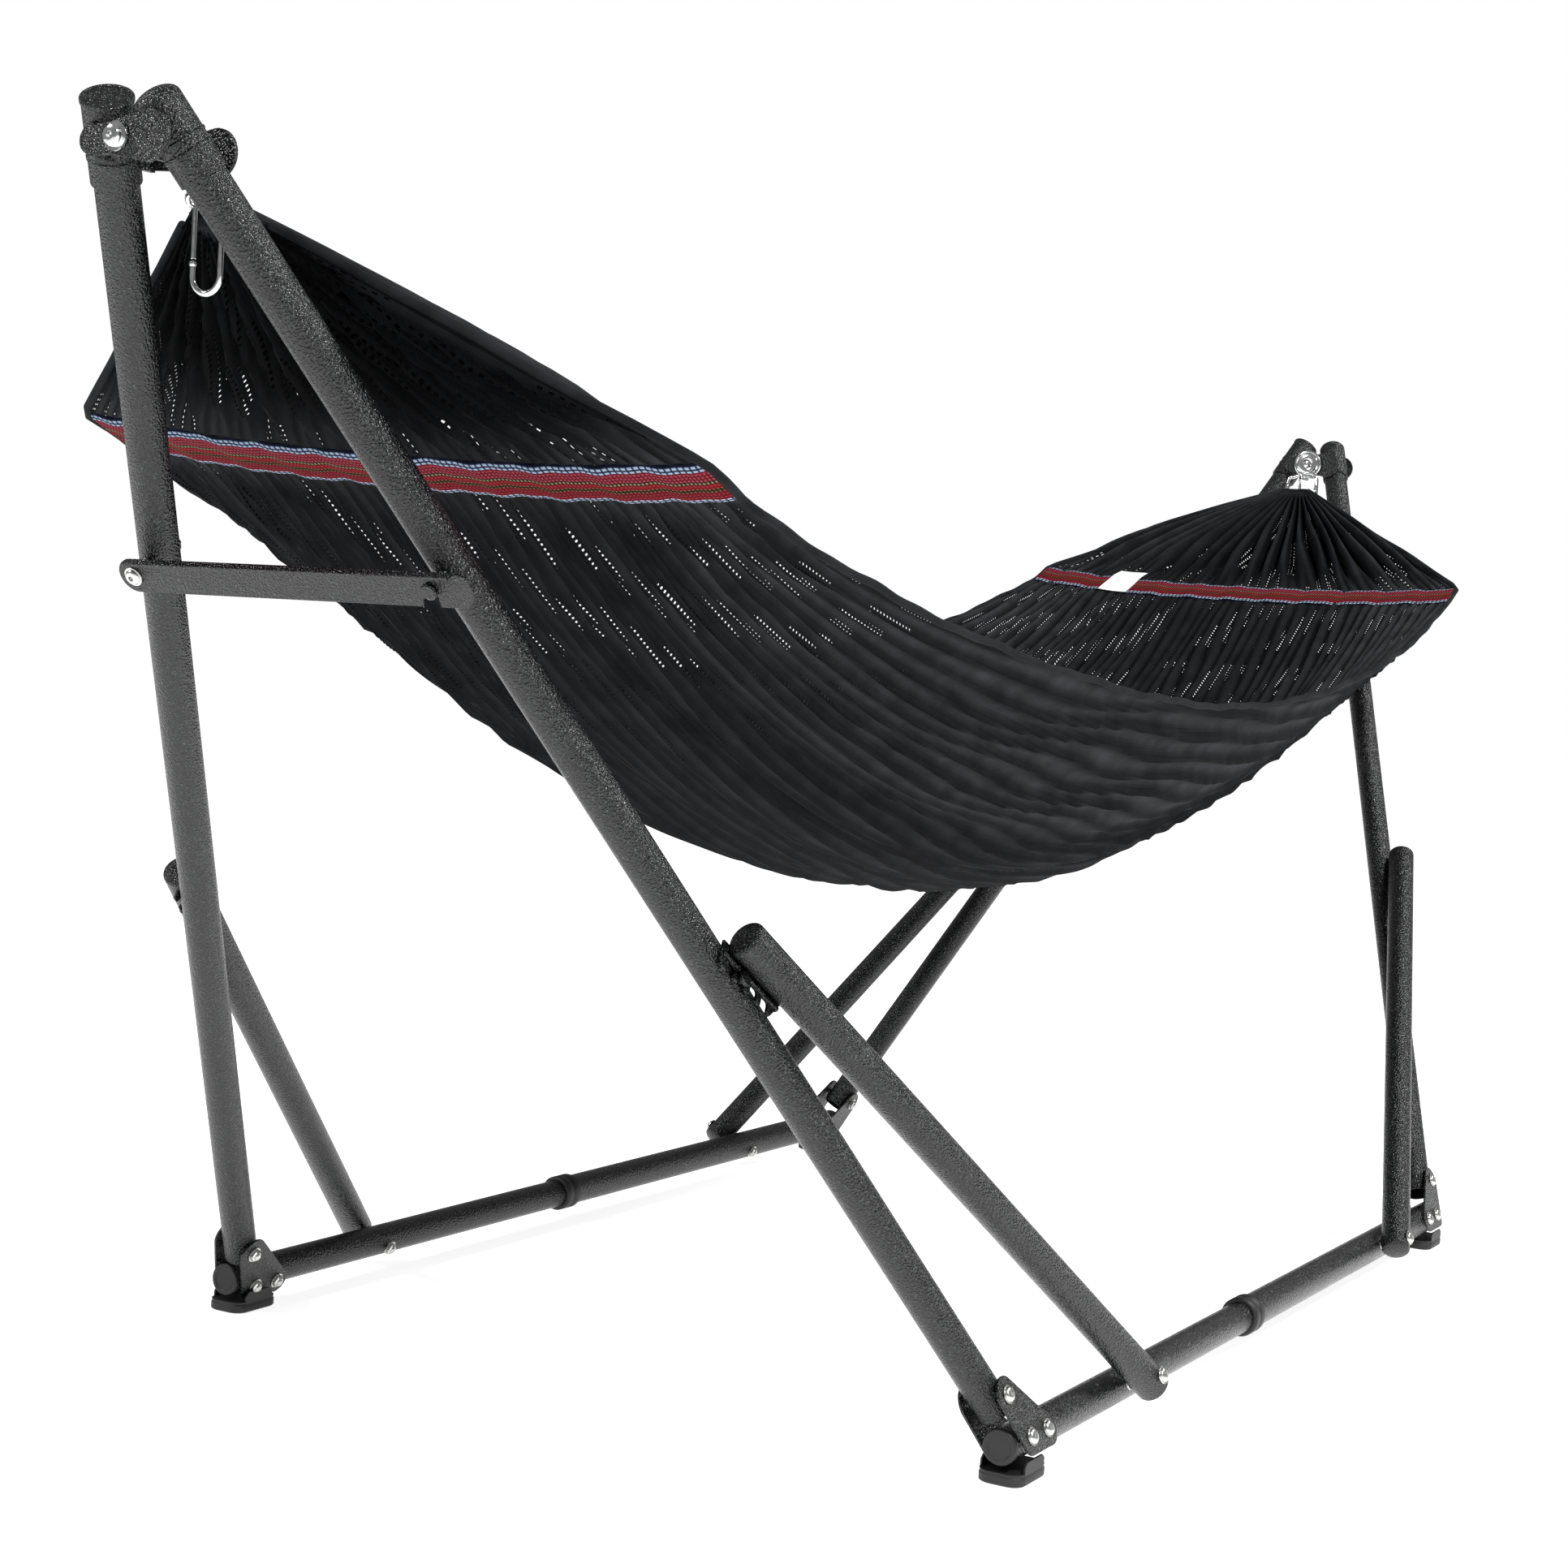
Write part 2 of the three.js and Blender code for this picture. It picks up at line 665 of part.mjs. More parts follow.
// Round wire along a smooth path.
function wire(points, radius, steps) {
  const path = new THREE.CatmullRomCurve3(points, false, "centripetal");
  const sides = 6;
  const section = Array.from({ length: sides }, (_, i) => {
    const angle = (i / sides) * 2 * Math.PI;
    return new THREE.Vector2(radius * Math.cos(angle), radius * Math.sin(angle));
  });
  const settings = { steps, extrudePath: path, bevelEnabled: false };
  return solid(new THREE.ExtrudeGeometry(new THREE.Shape(section), settings));
}

// A point beside the hook's level run: how far along it towards the hammock, across, and up.
function hookRun(end, inwards, across, up) {
  const start = discCentre(end);
  const x = start.x - end * (hookFrom + inwards);
  return vector(x, hingeOffset + across, start.z - hookDrop + up);
}

// Flat wire loop with straight flanks and round ends, hanging on the hook's level run.
function carabinerCentre(end) {
  const below = Math.sqrt(carabinerRoom * carabinerRoom - carabinerLean * carabinerLean);
  return hookRun(end, carabinerPlace, carabinerLean, -below - carabinerFlank);
}

function carabinerPath(end) {
  const nose = 12;             // straight wire above the lower turn, below the gate
  const steps = 6;
  const turn = (from, way, height) => Array.from({ length: steps + 1 }, (_, i) => {
    const angle = from + way * Math.PI * (i / steps);
    return vector(0, carabinerTurn * Math.cos(angle), height + carabinerTurn * Math.sin(angle));
  });
  return [
    vector(0, carabinerTurn, -carabinerFlank + nose),
    ...turn(0, -1, -carabinerFlank),
    vector(0, -carabinerTurn, 0),
    ...turn(Math.PI, -1, carabinerFlank),
  ].map((point) => point.add(carabinerCentre(end)));
}

function carabiner(end) {
  return wire(carabinerPath(end), carabinerWire, 24);
}

// Sprung bar that closes the loop's open flank.
function gate(end) {
  const path = carabinerPath(end);
  const low = path[0].clone().add(vector(0, 0, gateGap));
  const high = path.at(-1).clone().add(vector(0, 0, -gateGap));
  return rod(low, high, carabinerWire - gatePlay, small);
}

// Double claw over the hook's run: a bow in the middle and a leg down to the cloth on each side.
function claw(end) {
  const place = hookReach - 13;
  const top = hookWire + clawWire + gap;
  const down = discCentre(end).z - hookDrop - clothEndHeight[endName(end)] - clothThickness / 2;
  const half = (way) => [
    hookRun(end, place, 0, top),
    hookRun(end, place, way * clawSpread * 0.3, top),
    hookRun(end, place, way * clawSpread * 0.6, top * 0.6),
    hookRun(end, place, way * clawSpread * 0.9, top * 0.3),
    hookRun(end, place + 3, way * clawSpread, -down * 0.6),
    hookRun(end, place + 8, way * clawSpread, -down),
  ];
  return join([wire(half(1), clawWire, 9), wire(half(-1), clawWire, 9)]);
}

// A pin across a leg, square to the A-frame.
function endPin(end, side, from, to, radius) {
  const middle = legPoint(end, side, legLength * spreaderPlace);
  const { out } = endBasis(end);
  return rod(
    middle.clone().addScaledVector(out, from),
    middle.clone().addScaledVector(out, to),
    radius,
    small,
  );
}

function spreaderStud(end) {
  const wallInside = tubeRadius - tubeWall + 0.2;
  const barOuter = spreaderFrom + spreaderThickness + 2 * gap;
  return join([
    endPin(end, -1, wallInside, barOuter + 3, spreaderStudRadius),
    endPin(end, -1, wallInside, spreaderFrom - 2 * gap, spreaderStudRadius + 3),
    endPin(end, -1, barOuter, barOuter + 4, spreaderStudRadius + 3),
  ]);
}

// Pressed bar with a flange on its upper edge, a round hole at its pivot and a hook at the other end.
function spreader(end) {
  const pivot = legPoint(end, 1, legLength * spreaderPlace);
  const span = 2 * pivot.y;
  const half = spreaderHeight / 2;
  const { out } = endBasis(end);
  const origin = pivot.clone().addScaledVector(out, spreaderFrom);
  const matrix = endPlateMatrix(end, origin);
  const outline = bandOutline([[0, 0, half], [-span, 0, half]], 24);
  const body = plate(outline, spreaderThickness, matrix);
  const lipOrigin = pivot.clone().addScaledVector(out, spreaderFrom + spreaderThickness / 2);
  const lipTop = half + 0.6;
  const lipOutline = [[3, half - 2.4], [3, lipTop], [-span - 3, lipTop], [-span - 3, half - 2.4]]
    .map(([x, y]) => new THREE.Vector2(x, y));
  const lip = plate(lipOutline, spreaderFlange, endPlateMatrix(end, lipOrigin));
  const seat = holeFor(spreaderStudRadius);
  const flare = 0.55;
  const mouth = [
    [-span - seat, 0], [-span + seat, 0], [-span + seat + flare * 2 * half, -2 * half], [-span - seat, -2 * half],
  ].map(([x, y]) => new THREE.Vector2(x, y));
  const toolMatrix = endPlateMatrix(end, pivot.clone().addScaledVector(out, spreaderFrom - 5));
  const slot = [bandOutline([[-span, 0, seat]], 16), mouth]
    .map((shape) => plate(shape, spreaderFlange + 20, toolMatrix));
  return cut(join([body, lip]), [...slot, endPin(end, 1, -drillReach, drillReach, hole)]);
}

function spreaderBolt(end) {
  const middle = legPoint(end, 1, legLength * spreaderPlace);
  const { out } = endBasis(end);
  const inner = tubeRadius;
  const outer = spreaderFrom + spreaderThickness;
  const grip = inner + outer;
  const profile = [
    [0, -boltHead - 1.5],
    [boltHeadRadius * 0.7, -boltHead - 1.5],
    [boltHeadRadius, -boltHead * 0.5],
    [boltHeadRadius, -1.8],
    [boltHeadRadius + 2, -1.8],
    [boltHeadRadius + 2, -gap],
    [boltRadius, -gap],
    [boltRadius, spreaderThickness + gap],
    [boltHeadRadius, spreaderThickness + gap],
    [boltHeadRadius, spreaderThickness + spreaderStandOff - gap],
    [boltRadius, spreaderThickness + spreaderStandOff - gap],
    [boltRadius, grip + gap],
    [boltHeadRadius * 0.85, grip + gap],
    [boltHeadRadius * 0.85, grip + boltHead],
    [0, grip + boltHead],
  ];
  return turned(profile, middle.clone().addScaledVector(out, outer), out.clone().negate());
}

// Hanging cloth, section by section. Between the trim bands its middle line and its long edges
// are parabolas; beyond them it narrows in straight lines to the gathered ends.
function clothSection(x) {
  const mix = THREE.MathUtils.lerp;
  const away = Math.abs(x);
  const endHeight = clothEndHeight[x < 0 ? "near" : "far"];
  if (away <= bandInnerX) {
    const share = (away / bandInnerX) ** 2;
    return {
      half: mix(clothHalfWidth, bandHalfWidth, share),
      low: mix(clothLow, bandHeight, share),
      rim: mix(clothRim, bandHeight + bandSag, share),
    };
  }
  if (away <= bandOuterX) {
    const low = bandHeight + bandRise * (away - bandInnerX) / (bandOuterX - bandInnerX);
    return { half: bandHalfWidth, low, rim: low + bandSag };
  }
  const share = (away - bandOuterX) / (clothEndX - bandOuterX);
  return {
    half: mix(bandHalfWidth, clothEndHalfWidth, share),
    low: mix(bandHeight + bandRise, endHeight, share),
    rim: mix(bandHeight + bandRise + bandSag, endHeight, share),
  };
}

function clothPoint(x, across, above) {
  const { half, low, rim } = clothSection(x);
  return vector(x, half * across, low + (rim - low) * Math.abs(across) ** troughPower + above);
}

function hammock() {
  const halfStations = [0, 0.15, 0.3, 0.45, 0.6, 0.75, 0.88].map((share) => share * bandInnerX);
  const fan = [1 / 3, 2 / 3, 1].map((share) => bandOuterX + share * (clothEndX - bandOuterX));
  const far = [...halfStations, bandInnerX, bandOuterX, ...fan];
  const stations = [...far.slice(1).map((x) => -x).reverse(), ...far];
  const long = stations.length - 1;
  const broad = 10;
  const positions = [];
  const faces = [];
  const at = (i, j, top) => (top * (long + 1) + i) * (broad + 1) + j;
  for (const above of [-clothThickness, 0]) {
    for (let i = 0; i <= long; i += 1) {
      for (let j = 0; j <= broad; j += 1) {
        positions.push(...clothPoint(stations[i], -1 + (2 * j) / broad, above).toArray());
      }
    }
  }
  const quad = (a, b, c, d) => faces.push(a, b, c, a, c, d);
  for (let i = 0; i < long; i += 1) {
    for (let j = 0; j < broad; j += 1) {
      quad(at(i, j, 1), at(i + 1, j, 1), at(i + 1, j + 1, 1), at(i, j + 1, 1));
      quad(at(i, j, 0), at(i, j + 1, 0), at(i + 1, j + 1, 0), at(i + 1, j, 0));
    }
    quad(at(i, 0, 0), at(i + 1, 0, 0), at(i + 1, 0, 1), at(i, 0, 1));
    quad(at(i, broad, 0), at(i, broad, 1), at(i + 1, broad, 1), at(i + 1, broad, 0));
  }
  for (let j = 0; j < broad; j += 1) {
    quad(at(0, j, 0), at(0, j, 1), at(0, j + 1, 1), at(0, j + 1, 0));
    quad(at(long, j, 0), at(long, j + 1, 0), at(long, j + 1, 1), at(long, j, 1));
  }
  const geometry = new THREE.BufferGeometry();
  geometry.setAttribute("position", new THREE.Float32BufferAttribute(positions, 3));
  geometry.setIndex(faces);
  return solid(geometry);
}

// ---- assembly ----
for (const side of [1, -1]) {
  const where = sideName(side);
  add(`${where}_rail_inner`, innerRail(side), steelBlack);
  add(`${where}_rail_outer`, outerRail(side), steelBlack);
  add(`${where}_rail_collar`, collar(side), plastic);
  for (const end of [-1, 1]) {
    const corner = `${endName(end)}_${where}`;
    add(`${corner}_leg`, leg(end, side), steelBlack);
    add(`${corner}_sleeve`, side > 0 ? leftSleeve(end) : rightSleeve(end), steelBlack);
    add(`${corner}_brace`, brace(end, side), steelBlack);
    add(`${corner}_brace_bolt`, braceBolt(end, side), zinc);
    add(`${corner}_bracket_outer`, bracketPlate(end, side, true), steelBlack);
    add(`${corner}_bracket_inner`, bracketPlate(end, side, false), steelBlack);
    add(`${corner}_leg_bolt`, cornerBolt(end, side, end * legPivotX, legPivotRise), zinc);
    railBolts(end).forEach((x, i) => {
      add(`${corner}_rail_bolt_${i + 1}`, cornerBolt(end, side, x, 0), zinc);
    });
    add(`${corner}_foot`, foot(end, side), plastic);
  }
}
for (const end of [-1, 1]) {
  add(`${endName(end)}_spreader`, spreader(end), steelBlack);
  add(`${endName(end)}_spreader_bolt`, spreaderBolt(end), zinc);
  add(`${endName(end)}_hook`, hook(end), chrome);
  add(`${endName(end)}_claw`, claw(end), chrome);
  add(`${endName(end)}_carabiner`, carabiner(end), chrome);
  add(`${endName(end)}_gate`, gate(end), chrome);
}
add("hammock", hammock(), cloth);

export default model;
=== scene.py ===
import math
import bmesh
import bpy
import numpy as np
from mathutils import Matrix, Vector


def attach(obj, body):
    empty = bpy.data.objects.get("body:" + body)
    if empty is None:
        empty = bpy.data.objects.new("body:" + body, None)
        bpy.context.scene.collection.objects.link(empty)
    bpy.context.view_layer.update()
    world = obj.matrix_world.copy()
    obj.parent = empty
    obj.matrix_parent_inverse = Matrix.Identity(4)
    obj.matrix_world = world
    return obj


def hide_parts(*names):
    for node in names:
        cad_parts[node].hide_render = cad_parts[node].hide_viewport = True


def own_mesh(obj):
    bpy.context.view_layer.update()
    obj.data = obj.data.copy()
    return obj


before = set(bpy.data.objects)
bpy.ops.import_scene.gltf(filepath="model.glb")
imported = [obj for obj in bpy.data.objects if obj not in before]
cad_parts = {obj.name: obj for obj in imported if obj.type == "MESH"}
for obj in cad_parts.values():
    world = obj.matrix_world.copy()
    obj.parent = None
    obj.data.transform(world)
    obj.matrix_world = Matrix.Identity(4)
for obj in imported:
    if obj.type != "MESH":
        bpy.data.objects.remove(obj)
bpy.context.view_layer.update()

mm = 0.001
print("frame loaded")

# Sizes that the hard pieces share, in millimetres as on the drawing of the stand.
stand = {
    "railSpacing": 500.0, "railHeight": 38.0, "railEnd": 735.0, "railJoin": -50.0, "railOverlap": 180.0,
    "outerRail": 20.0, "outerWall": 1.2, "innerRail": 18.5, "innerWall": 1.5,
    "tube": 19.0, "tubeWall": 1.5,
    "legPivotX": 735.0, "legPivotRise": 47.5, "legLength": 1448.0, "legAngle": 58.2, "legTail": 16.0,
    "apexHalfGap": 25.0, "hingeDrop": 43.9, "hingeOffset": -6.0, "lugFrom": 33.2, "lug": 4.0, "gap": 0.3,
    "bracePivot": 452.0, "braceAngle": 43.0, "braceLength": 781.0, "braceSpacer": 2.5, "stud": 742.0,
    "bracket": 3.0, "spreaderPlace": 0.685, "spreaderStandOff": 17.0, "spreaderBar": 3.0,
}
legAngle = math.radians(stand["legAngle"])
braceAngle = math.radians(stand["braceAngle"])
apexRise = stand["legPivotRise"] + stand["legLength"] * math.sin(legAngle)
sideTilt = math.asin((stand["railSpacing"] - stand["apexHalfGap"]) / apexRise)
braceOut = stand["outerRail"] + stand["braceSpacer"] + stand["tube"]
sides = (1, -1)
ends = (-1, 1)
endName = {-1: "near", 1: "far"}
sideName = {1: "left", -1: "right"}
ownerOf = {(1, 1): "root", (-1, 1): "near_left", (1, -1): "far_right", (-1, -1): "near_right"}


def sideAxes(side):
    out = np.array([0, side * math.cos(sideTilt), math.sin(sideTilt)])
    up = np.array([0, -side * math.sin(sideTilt), math.cos(sideTilt)])
    return np.array([1.0, 0, 0]), out, up


def sidePoint(side, x, out, up):
    along, outwards, upwards = sideAxes(side)
    origin = np.array([0, side * stand["railSpacing"], stand["railHeight"]])
    return origin + along * x + outwards * out + upwards * up


def legPoint(end, side, distance, out=0.0):
    x = end * (stand["legPivotX"] + distance * math.cos(legAngle))
    return sidePoint(side, x, out, stand["legPivotRise"] + distance * math.sin(legAngle))


def bracePoint(end, side, distance, out=None):
    x = end * (stand["bracePivot"] + distance * math.cos(braceAngle))
    return sidePoint(side, x, braceOut if out is None else out, distance * math.sin(braceAngle))


def unit(vector):
    return np.asarray(vector, float) / np.linalg.norm(vector)


def hingePoint(end):
    onLeg = legPoint(end, 1, stand["legLength"] - stand["hingeDrop"])
    return np.array([onLeg[0], stand["hingeOffset"], onLeg[2]])


def endAxes(end):
    top = legPoint(end, 1, stand["legLength"]) + legPoint(end, -1, stand["legLength"])
    slope = unit(top - legPoint(end, 1, 0) - legPoint(end, -1, 0))
    return np.array([0, 1.0, 0]), slope, np.array([end * slope[2], 0, -end * slope[0]])


# Faces between neighbouring rows and columns of a grid of points.
def gridFaces(rows, columns, wrapColumns=False):
    last = columns if wrapColumns else columns - 1
    i, j = np.meshgrid(np.arange(rows - 1), np.arange(last), indexing="ij")
    k = (j + 1) % columns
    corners = [i * columns + j, i * columns + k, (i + 1) * columns + k, (i + 1) * columns + j]
    return np.stack(corners, -1).reshape(-1, 4)


# Two directions square to a third.
def crossPair(direction):
    w = unit(direction)
    helper = np.array([0, 0, 1.0]) if abs(w[2]) < 0.9 else np.array([1.0, 0, 0])
    u = unit(np.cross(helper, w))
    return u, np.cross(w, u), w


# Point = start + height * axis + radius * (cos a, sin a) across the axis, for every profile row and angle a.
def lathe(profile, start, direction, count=40):
    u, v, w = crossPair(direction)
    profile = np.array(profile, float)
    angle = np.linspace(0, 2 * np.pi, count, endpoint=False)
    ring = np.cos(angle)[:, None] * u + np.sin(angle)[:, None] * v
    points = np.asarray(start) + profile[:, 1][:, None, None] * w + profile[:, 0][:, None, None] * ring
    return points.reshape(-1, 3), gridFaces(len(profile), count, True)


# Catmull-Rom curve through the given points, the same number of steps in each stretch.
def smoothPath(points, steps):
    p = np.array(points, float)
    p = np.vstack([2 * p[0] - p[1], p, 2 * p[-1] - p[-2]])
    t = np.linspace(0, 1, steps, endpoint=False)[None, :, None]
    a, b, c, d = (p[k:len(p) - 3 + k][:, None, :] for k in range(4))
    square, cubic = 2 * a - 5 * b + 4 * c - d, 3 * b - a - 3 * c + d
    curve = 0.5 * (2 * b + (c - a) * t + square * t ** 2 + cubic * t ** 3)
    return np.vstack([curve.reshape(-1, 3), p[-2]])


# Round wire: each ring stands square to the path, and turns as little as it can from the last.
def wire(path, radius, count=16):
    path = np.asarray(path, float)
    tangent = np.gradient(path, axis=0)
    tangent /= np.linalg.norm(tangent, axis=1)[:, None]
    u = crossPair(tangent[0])[0]
    frames = []
    for t in tangent:
        u = unit(u - t * np.dot(u, t))
        frames.append((u, np.cross(t, u)))
    frames = np.array(frames)
    angle = np.linspace(0, 2 * np.pi, count, endpoint=False)
    ring = frames[:, 0][:, None] * np.cos(angle)[:, None] + frames[:, 1][:, None] * np.sin(angle)[:, None]
    grown = np.concatenate([[0], np.full(len(path), radius), [0]])
    path = np.vstack([path[:1], path, path[-1:]])
    ring = np.concatenate([ring[:1], ring, ring[-1:]])
    points = path[:, None] + ring * grown[:, None, None]
    return points.reshape(-1, 3), gridFaces(len(path), count, True)


# Flat outline thickened along the third of three axes.
def plate(outline, thickness, origin, axes):
    flat = np.array(outline, float)
    low = np.asarray(origin) + flat[:, :1] * axes[0] + flat[:, 1:] * axes[1]
    n = len(flat)
    k = (np.arange(n) + 1) % n
    faces = [list(range(n)), list(range(n, 2 * n))]
    faces += np.stack([np.arange(n), k, k + n, np.arange(n) + n], -1).tolist()
    return np.vstack([low, low + thickness * np.asarray(axes[2])]), faces


def arc(centre, radius, start, stop, count=12):
    angle = np.radians(np.linspace(start, stop, count))
    return np.stack([centre[0] + radius * np.cos(angle), centre[1] + radius * np.sin(angle)], -1)


# Outline of a taut band round some circles: of every direction's tangent points, the furthest one.
def bandOutline(circles, count=72):
    angle = np.linspace(0, 2 * np.pi, count, endpoint=False)
    normal = np.stack([np.cos(angle), np.sin(angle)], -1)
    centres = np.array([c[:2] for c in circles], float)
    radii = np.array([c[2] for c in circles], float)
    best = np.argmax(normal @ centres.T + radii, axis=1)
    return centres[best] + normal * radii[best][:, None]


# Joins the parts into one closed mesh in metres, with smooth faces and sharp edges past an angle.
def makeObject(name, parts, material, sharp=35, merge=True):
    verts, faces, base = [], [], 0
    for points, polygons in parts:
        verts.append(np.asarray(points, float))
        faces += [[int(i) + base for i in polygon] for polygon in polygons]
        base += len(points)
    mesh = bpy.data.meshes.new(name)
    mesh.from_pydata((np.vstack(verts) * mm).tolist(), [], faces)
    if merge:
        work = bmesh.new()
        work.from_mesh(mesh)
        bmesh.ops.remove_doubles(work, verts=work.verts, dist=1e-6)
        bmesh.ops.dissolve_degenerate(work, edges=work.edges, dist=1e-7)
        bmesh.ops.recalc_face_normals(work, faces=work.faces)
        work.to_mesh(mesh)
        work.free()
    mesh.shade_smooth()
    mesh.set_sharp_from_angle(angle=math.radians(sharp))
    made = bpy.data.objects.new(name, mesh)
    bpy.context.scene.collection.objects.link(made)
    made.data.materials.append(material)
    return made


def addPiece(name, parts, material, body, nodes=(), bevel=0.0, sharp=35):
    made = makeObject(name, parts, material, sharp)
    if bevel:
        edge = made.modifiers.new("edges", "BEVEL")
        edge.width = bevel * mm
        edge.segments = 2
        edge.limit_method = "ANGLE"
        edge.angle_limit = math.radians(40)
        edge.harden_normals = True
    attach(made, body)
    if nodes:
        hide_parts(*nodes)
    return made


def hexColor(text):
    value = [int(text[i:i + 2], 16) / 255 for i in (1, 3, 5)]
    return [c / 12.92 if c <= 0.04045 else ((c + 0.055) / 1.055) ** 2.4 for c in value] + [1.0]


# Adds one node; an input is given a value or another node's output.
def addNode(tree, kind, inputs=(), **settings):
    made = tree.nodes.new(kind)
    for key, value in settings.items():
        setattr(made, key, value)
    for socket, value in dict(inputs).items():
        if isinstance(value, bpy.types.NodeSocket):
            tree.links.new(value, made.inputs[socket])
        else:
            made.inputs[socket].default_value = value
    return made


def newMaterial(name, **sockets):
    material = bpy.data.materials.new(name)
    material.use_nodes = True
    shader = material.node_tree.nodes["Principled BSDF"]
    for socket, value in sockets.items():
        shader.inputs[socket.replace("_", " ")].default_value = value
    return material, material.node_tree, shader


def objectPlace(tree, scale):
    place = addNode(tree, "ShaderNodeTexCoord")
    return addNode(tree, "ShaderNodeMapping", {"Vector": place.outputs["Object"],
                                               "Scale": scale}).outputs[0]


def ramp(tree, factor, stops, constant=False):
    made = addNode(tree, "ShaderNodeValToRGB", {"Fac": factor})
    scale = made.color_ramp
    scale.interpolation = "CONSTANT" if constant else "LINEAR"
    scale.elements.remove(scale.elements[1])
    scale.elements[0].position = stops[0][0]
    scale.elements[0].color = hexColor(stops[0][1])
    for position, color in stops[1:]:
        scale.elements.new(position).color = hexColor(color)
    return made.outputs[0]


def bump(tree, shader, height, distance, strength=1.0):
    made = addNode(tree, "ShaderNodeBump", {"Height": height, "Distance": distance, "Strength": strength})
    tree.links.new(made.outputs[0], shader.inputs["Normal"])


# Hammertone powder coat: a baked polyester film that pulls into pebbles about 2 mm across, nearly
# black with paler flecks on the crowns, partly the coat's own mottle and partly painted highlight specks, so
# that a highlight breaks into bright specks.
def hammertoneCoat():
    coat = {"pebble": 2.2, "fleck": 1.1}
    material, tree, shader = newMaterial("hammertone powder coat", Roughness=0.3, Specular_IOR_Level=0.5)
    place = objectPlace(tree, (1, 1, 1))
    pebble = addNode(tree, "ShaderNodeTexNoise", {"Vector": place, "Scale": 1000 / coat["pebble"],
                                                  "Detail": 1.0})
    fleck = addNode(tree, "ShaderNodeTexNoise", {"Vector": place, "Scale": 1000 / coat["fleck"],
                                                 "Detail": 2.0})
    # Colour rises with the pebble height that also drives the bump: the paler crowns are partly painted
    # highlight specks.
    color = ramp(tree, pebble.outputs[0], [(0.4, "#020203"), (0.54, "#070808"), (0.64, "#191b1c"),
                                           (0.78, "#4c4f51")])
    tree.links.new(color, shader.inputs["Base Color"])
    rough = addNode(tree, "ShaderNodeMapRange", {0: fleck.outputs[0], 3: 0.12, 4: 0.4})
    tree.links.new(rough.outputs[0], shader.inputs["Roughness"])
    bump(tree, shader, pebble.outputs[0], 0.0022, 1.0)
    return material


# Plain finish with one fine grain: it drives the colour, the height and, where given, the gloss.
def grainyFinish(name, scale, detail, stops, depth, strength, place=(1, 1, 1), gloss=None, **sockets):
    material, tree, shader = newMaterial(name, **sockets)
    grain = addNode(tree, "ShaderNodeTexNoise",
                    {"Vector": objectPlace(tree, place), "Scale": scale, "Detail": detail}).outputs[0]
    tree.links.new(ramp(tree, grain, stops), shader.inputs["Base Color"])
    if gloss:
        rough = addNode(tree, "ShaderNodeMapRange", {0: grain, 3: gloss[0], 4: gloss[1]})
        tree.links.new(rough.outputs[0], shader.inputs["Roughness"])
    bump(tree, shader, grain, depth, strength)
    return material


coatMaterial = hammertoneCoat()
# Injection-moulded polypropylene: fine spark-eroded matt with a soft low shine.
plasticMaterial = grainyFinish("moulded polypropylene", 900.0, 3.0, [(0.3, "#0d0d0e"), (0.7, "#1b1b1c")],
                               0.0003, 0.5, Roughness=0.55)
# Bright zinc plate on turned screws: a soft silver with faint turning marks.
zincMaterial = grainyFinish("bright zinc plate", 420.0, 4.0, [(0.3, "#b9bab8"), (0.7, "#e4e5e2")],
                            0.0002, 0.3, gloss=(0.2, 0.36), Metallic=1.0, Roughness=0.28)
# Polished chrome plate on drawn wire: mirror bright with slight waves from the steel under it.
chromeMaterial = grainyFinish("polished chrome plate", 160.0, 3.0, [(0.3, "#d3d4d6"), (0.7, "#f1f1f0")],
                              0.0004, 0.25, Metallic=1.0, Roughness=0.12)
print("hard materials made")


def tubeParts(start, stop, radius, wall, count=48):
    length = np.linalg.norm(stop - start)
    lip = 0.4
    profile = [
        [radius - wall, 0], [radius - wall, length], [radius - wall + lip, length], [radius - lip, length],
        [radius, length - lip], [radius, lip], [radius - lip, 0], [radius - wall, 0],
    ]
    return lathe(profile, start, stop - start, count)


def makeRails():
    for side in sides:
        where = sideName[side]
        inner = tubeParts(sidePoint(side, -stand["railEnd"], 0, 0),
                          sidePoint(side, stand["railJoin"] + stand["railOverlap"], 0, 0),
                          stand["innerRail"], stand["innerWall"])
        addPiece(f"{where}_rail_inner_tube", [inner], coatMaterial, ownerOf[-1, side],
                 [f"{where}_rail_inner"])
        outer = tubeParts(sidePoint(side, stand["railJoin"], 0, 0), sidePoint(side, stand["railEnd"], 0, 0),
                          stand["outerRail"], stand["outerWall"])
        addPiece(f"{where}_rail_outer_tube", [outer], coatMaterial, ownerOf[1, side],
                 [f"{where}_rail_outer"])
        makeCollar(side)


# Moulded collar: a bevelled ring on the outer tube's mouth with a shallow groove round it.
def makeCollar(side):
    wall = 3.4
    bore, outside = stand["innerRail"] + stand["gap"], stand["outerRail"] + wall
    body = stand["outerRail"] + stand["gap"]
    profile = [
        [bore, -9], [outside - 2.4, -9], [outside - 0.9, -8.2], [outside, -6.6], [outside, 4],
        [outside - 0.7, 5],
        [outside - 0.7, 7], [outside, 8], [outside, 20.4], [outside - 0.8, 22], [body, 22], [body, -0.3],
        [bore, -0.3], [bore, -9],
    ]
    ring = lathe(profile, sidePoint(side, stand["railJoin"], 0, 0), np.array([1.0, 0, 0]), 64)
    where = sideName[side]
    addPiece(f"{where}_collar_ring", [ring], plasticMaterial, ownerOf[1, side],
             [f"{where}_rail_collar"], sharp=50)


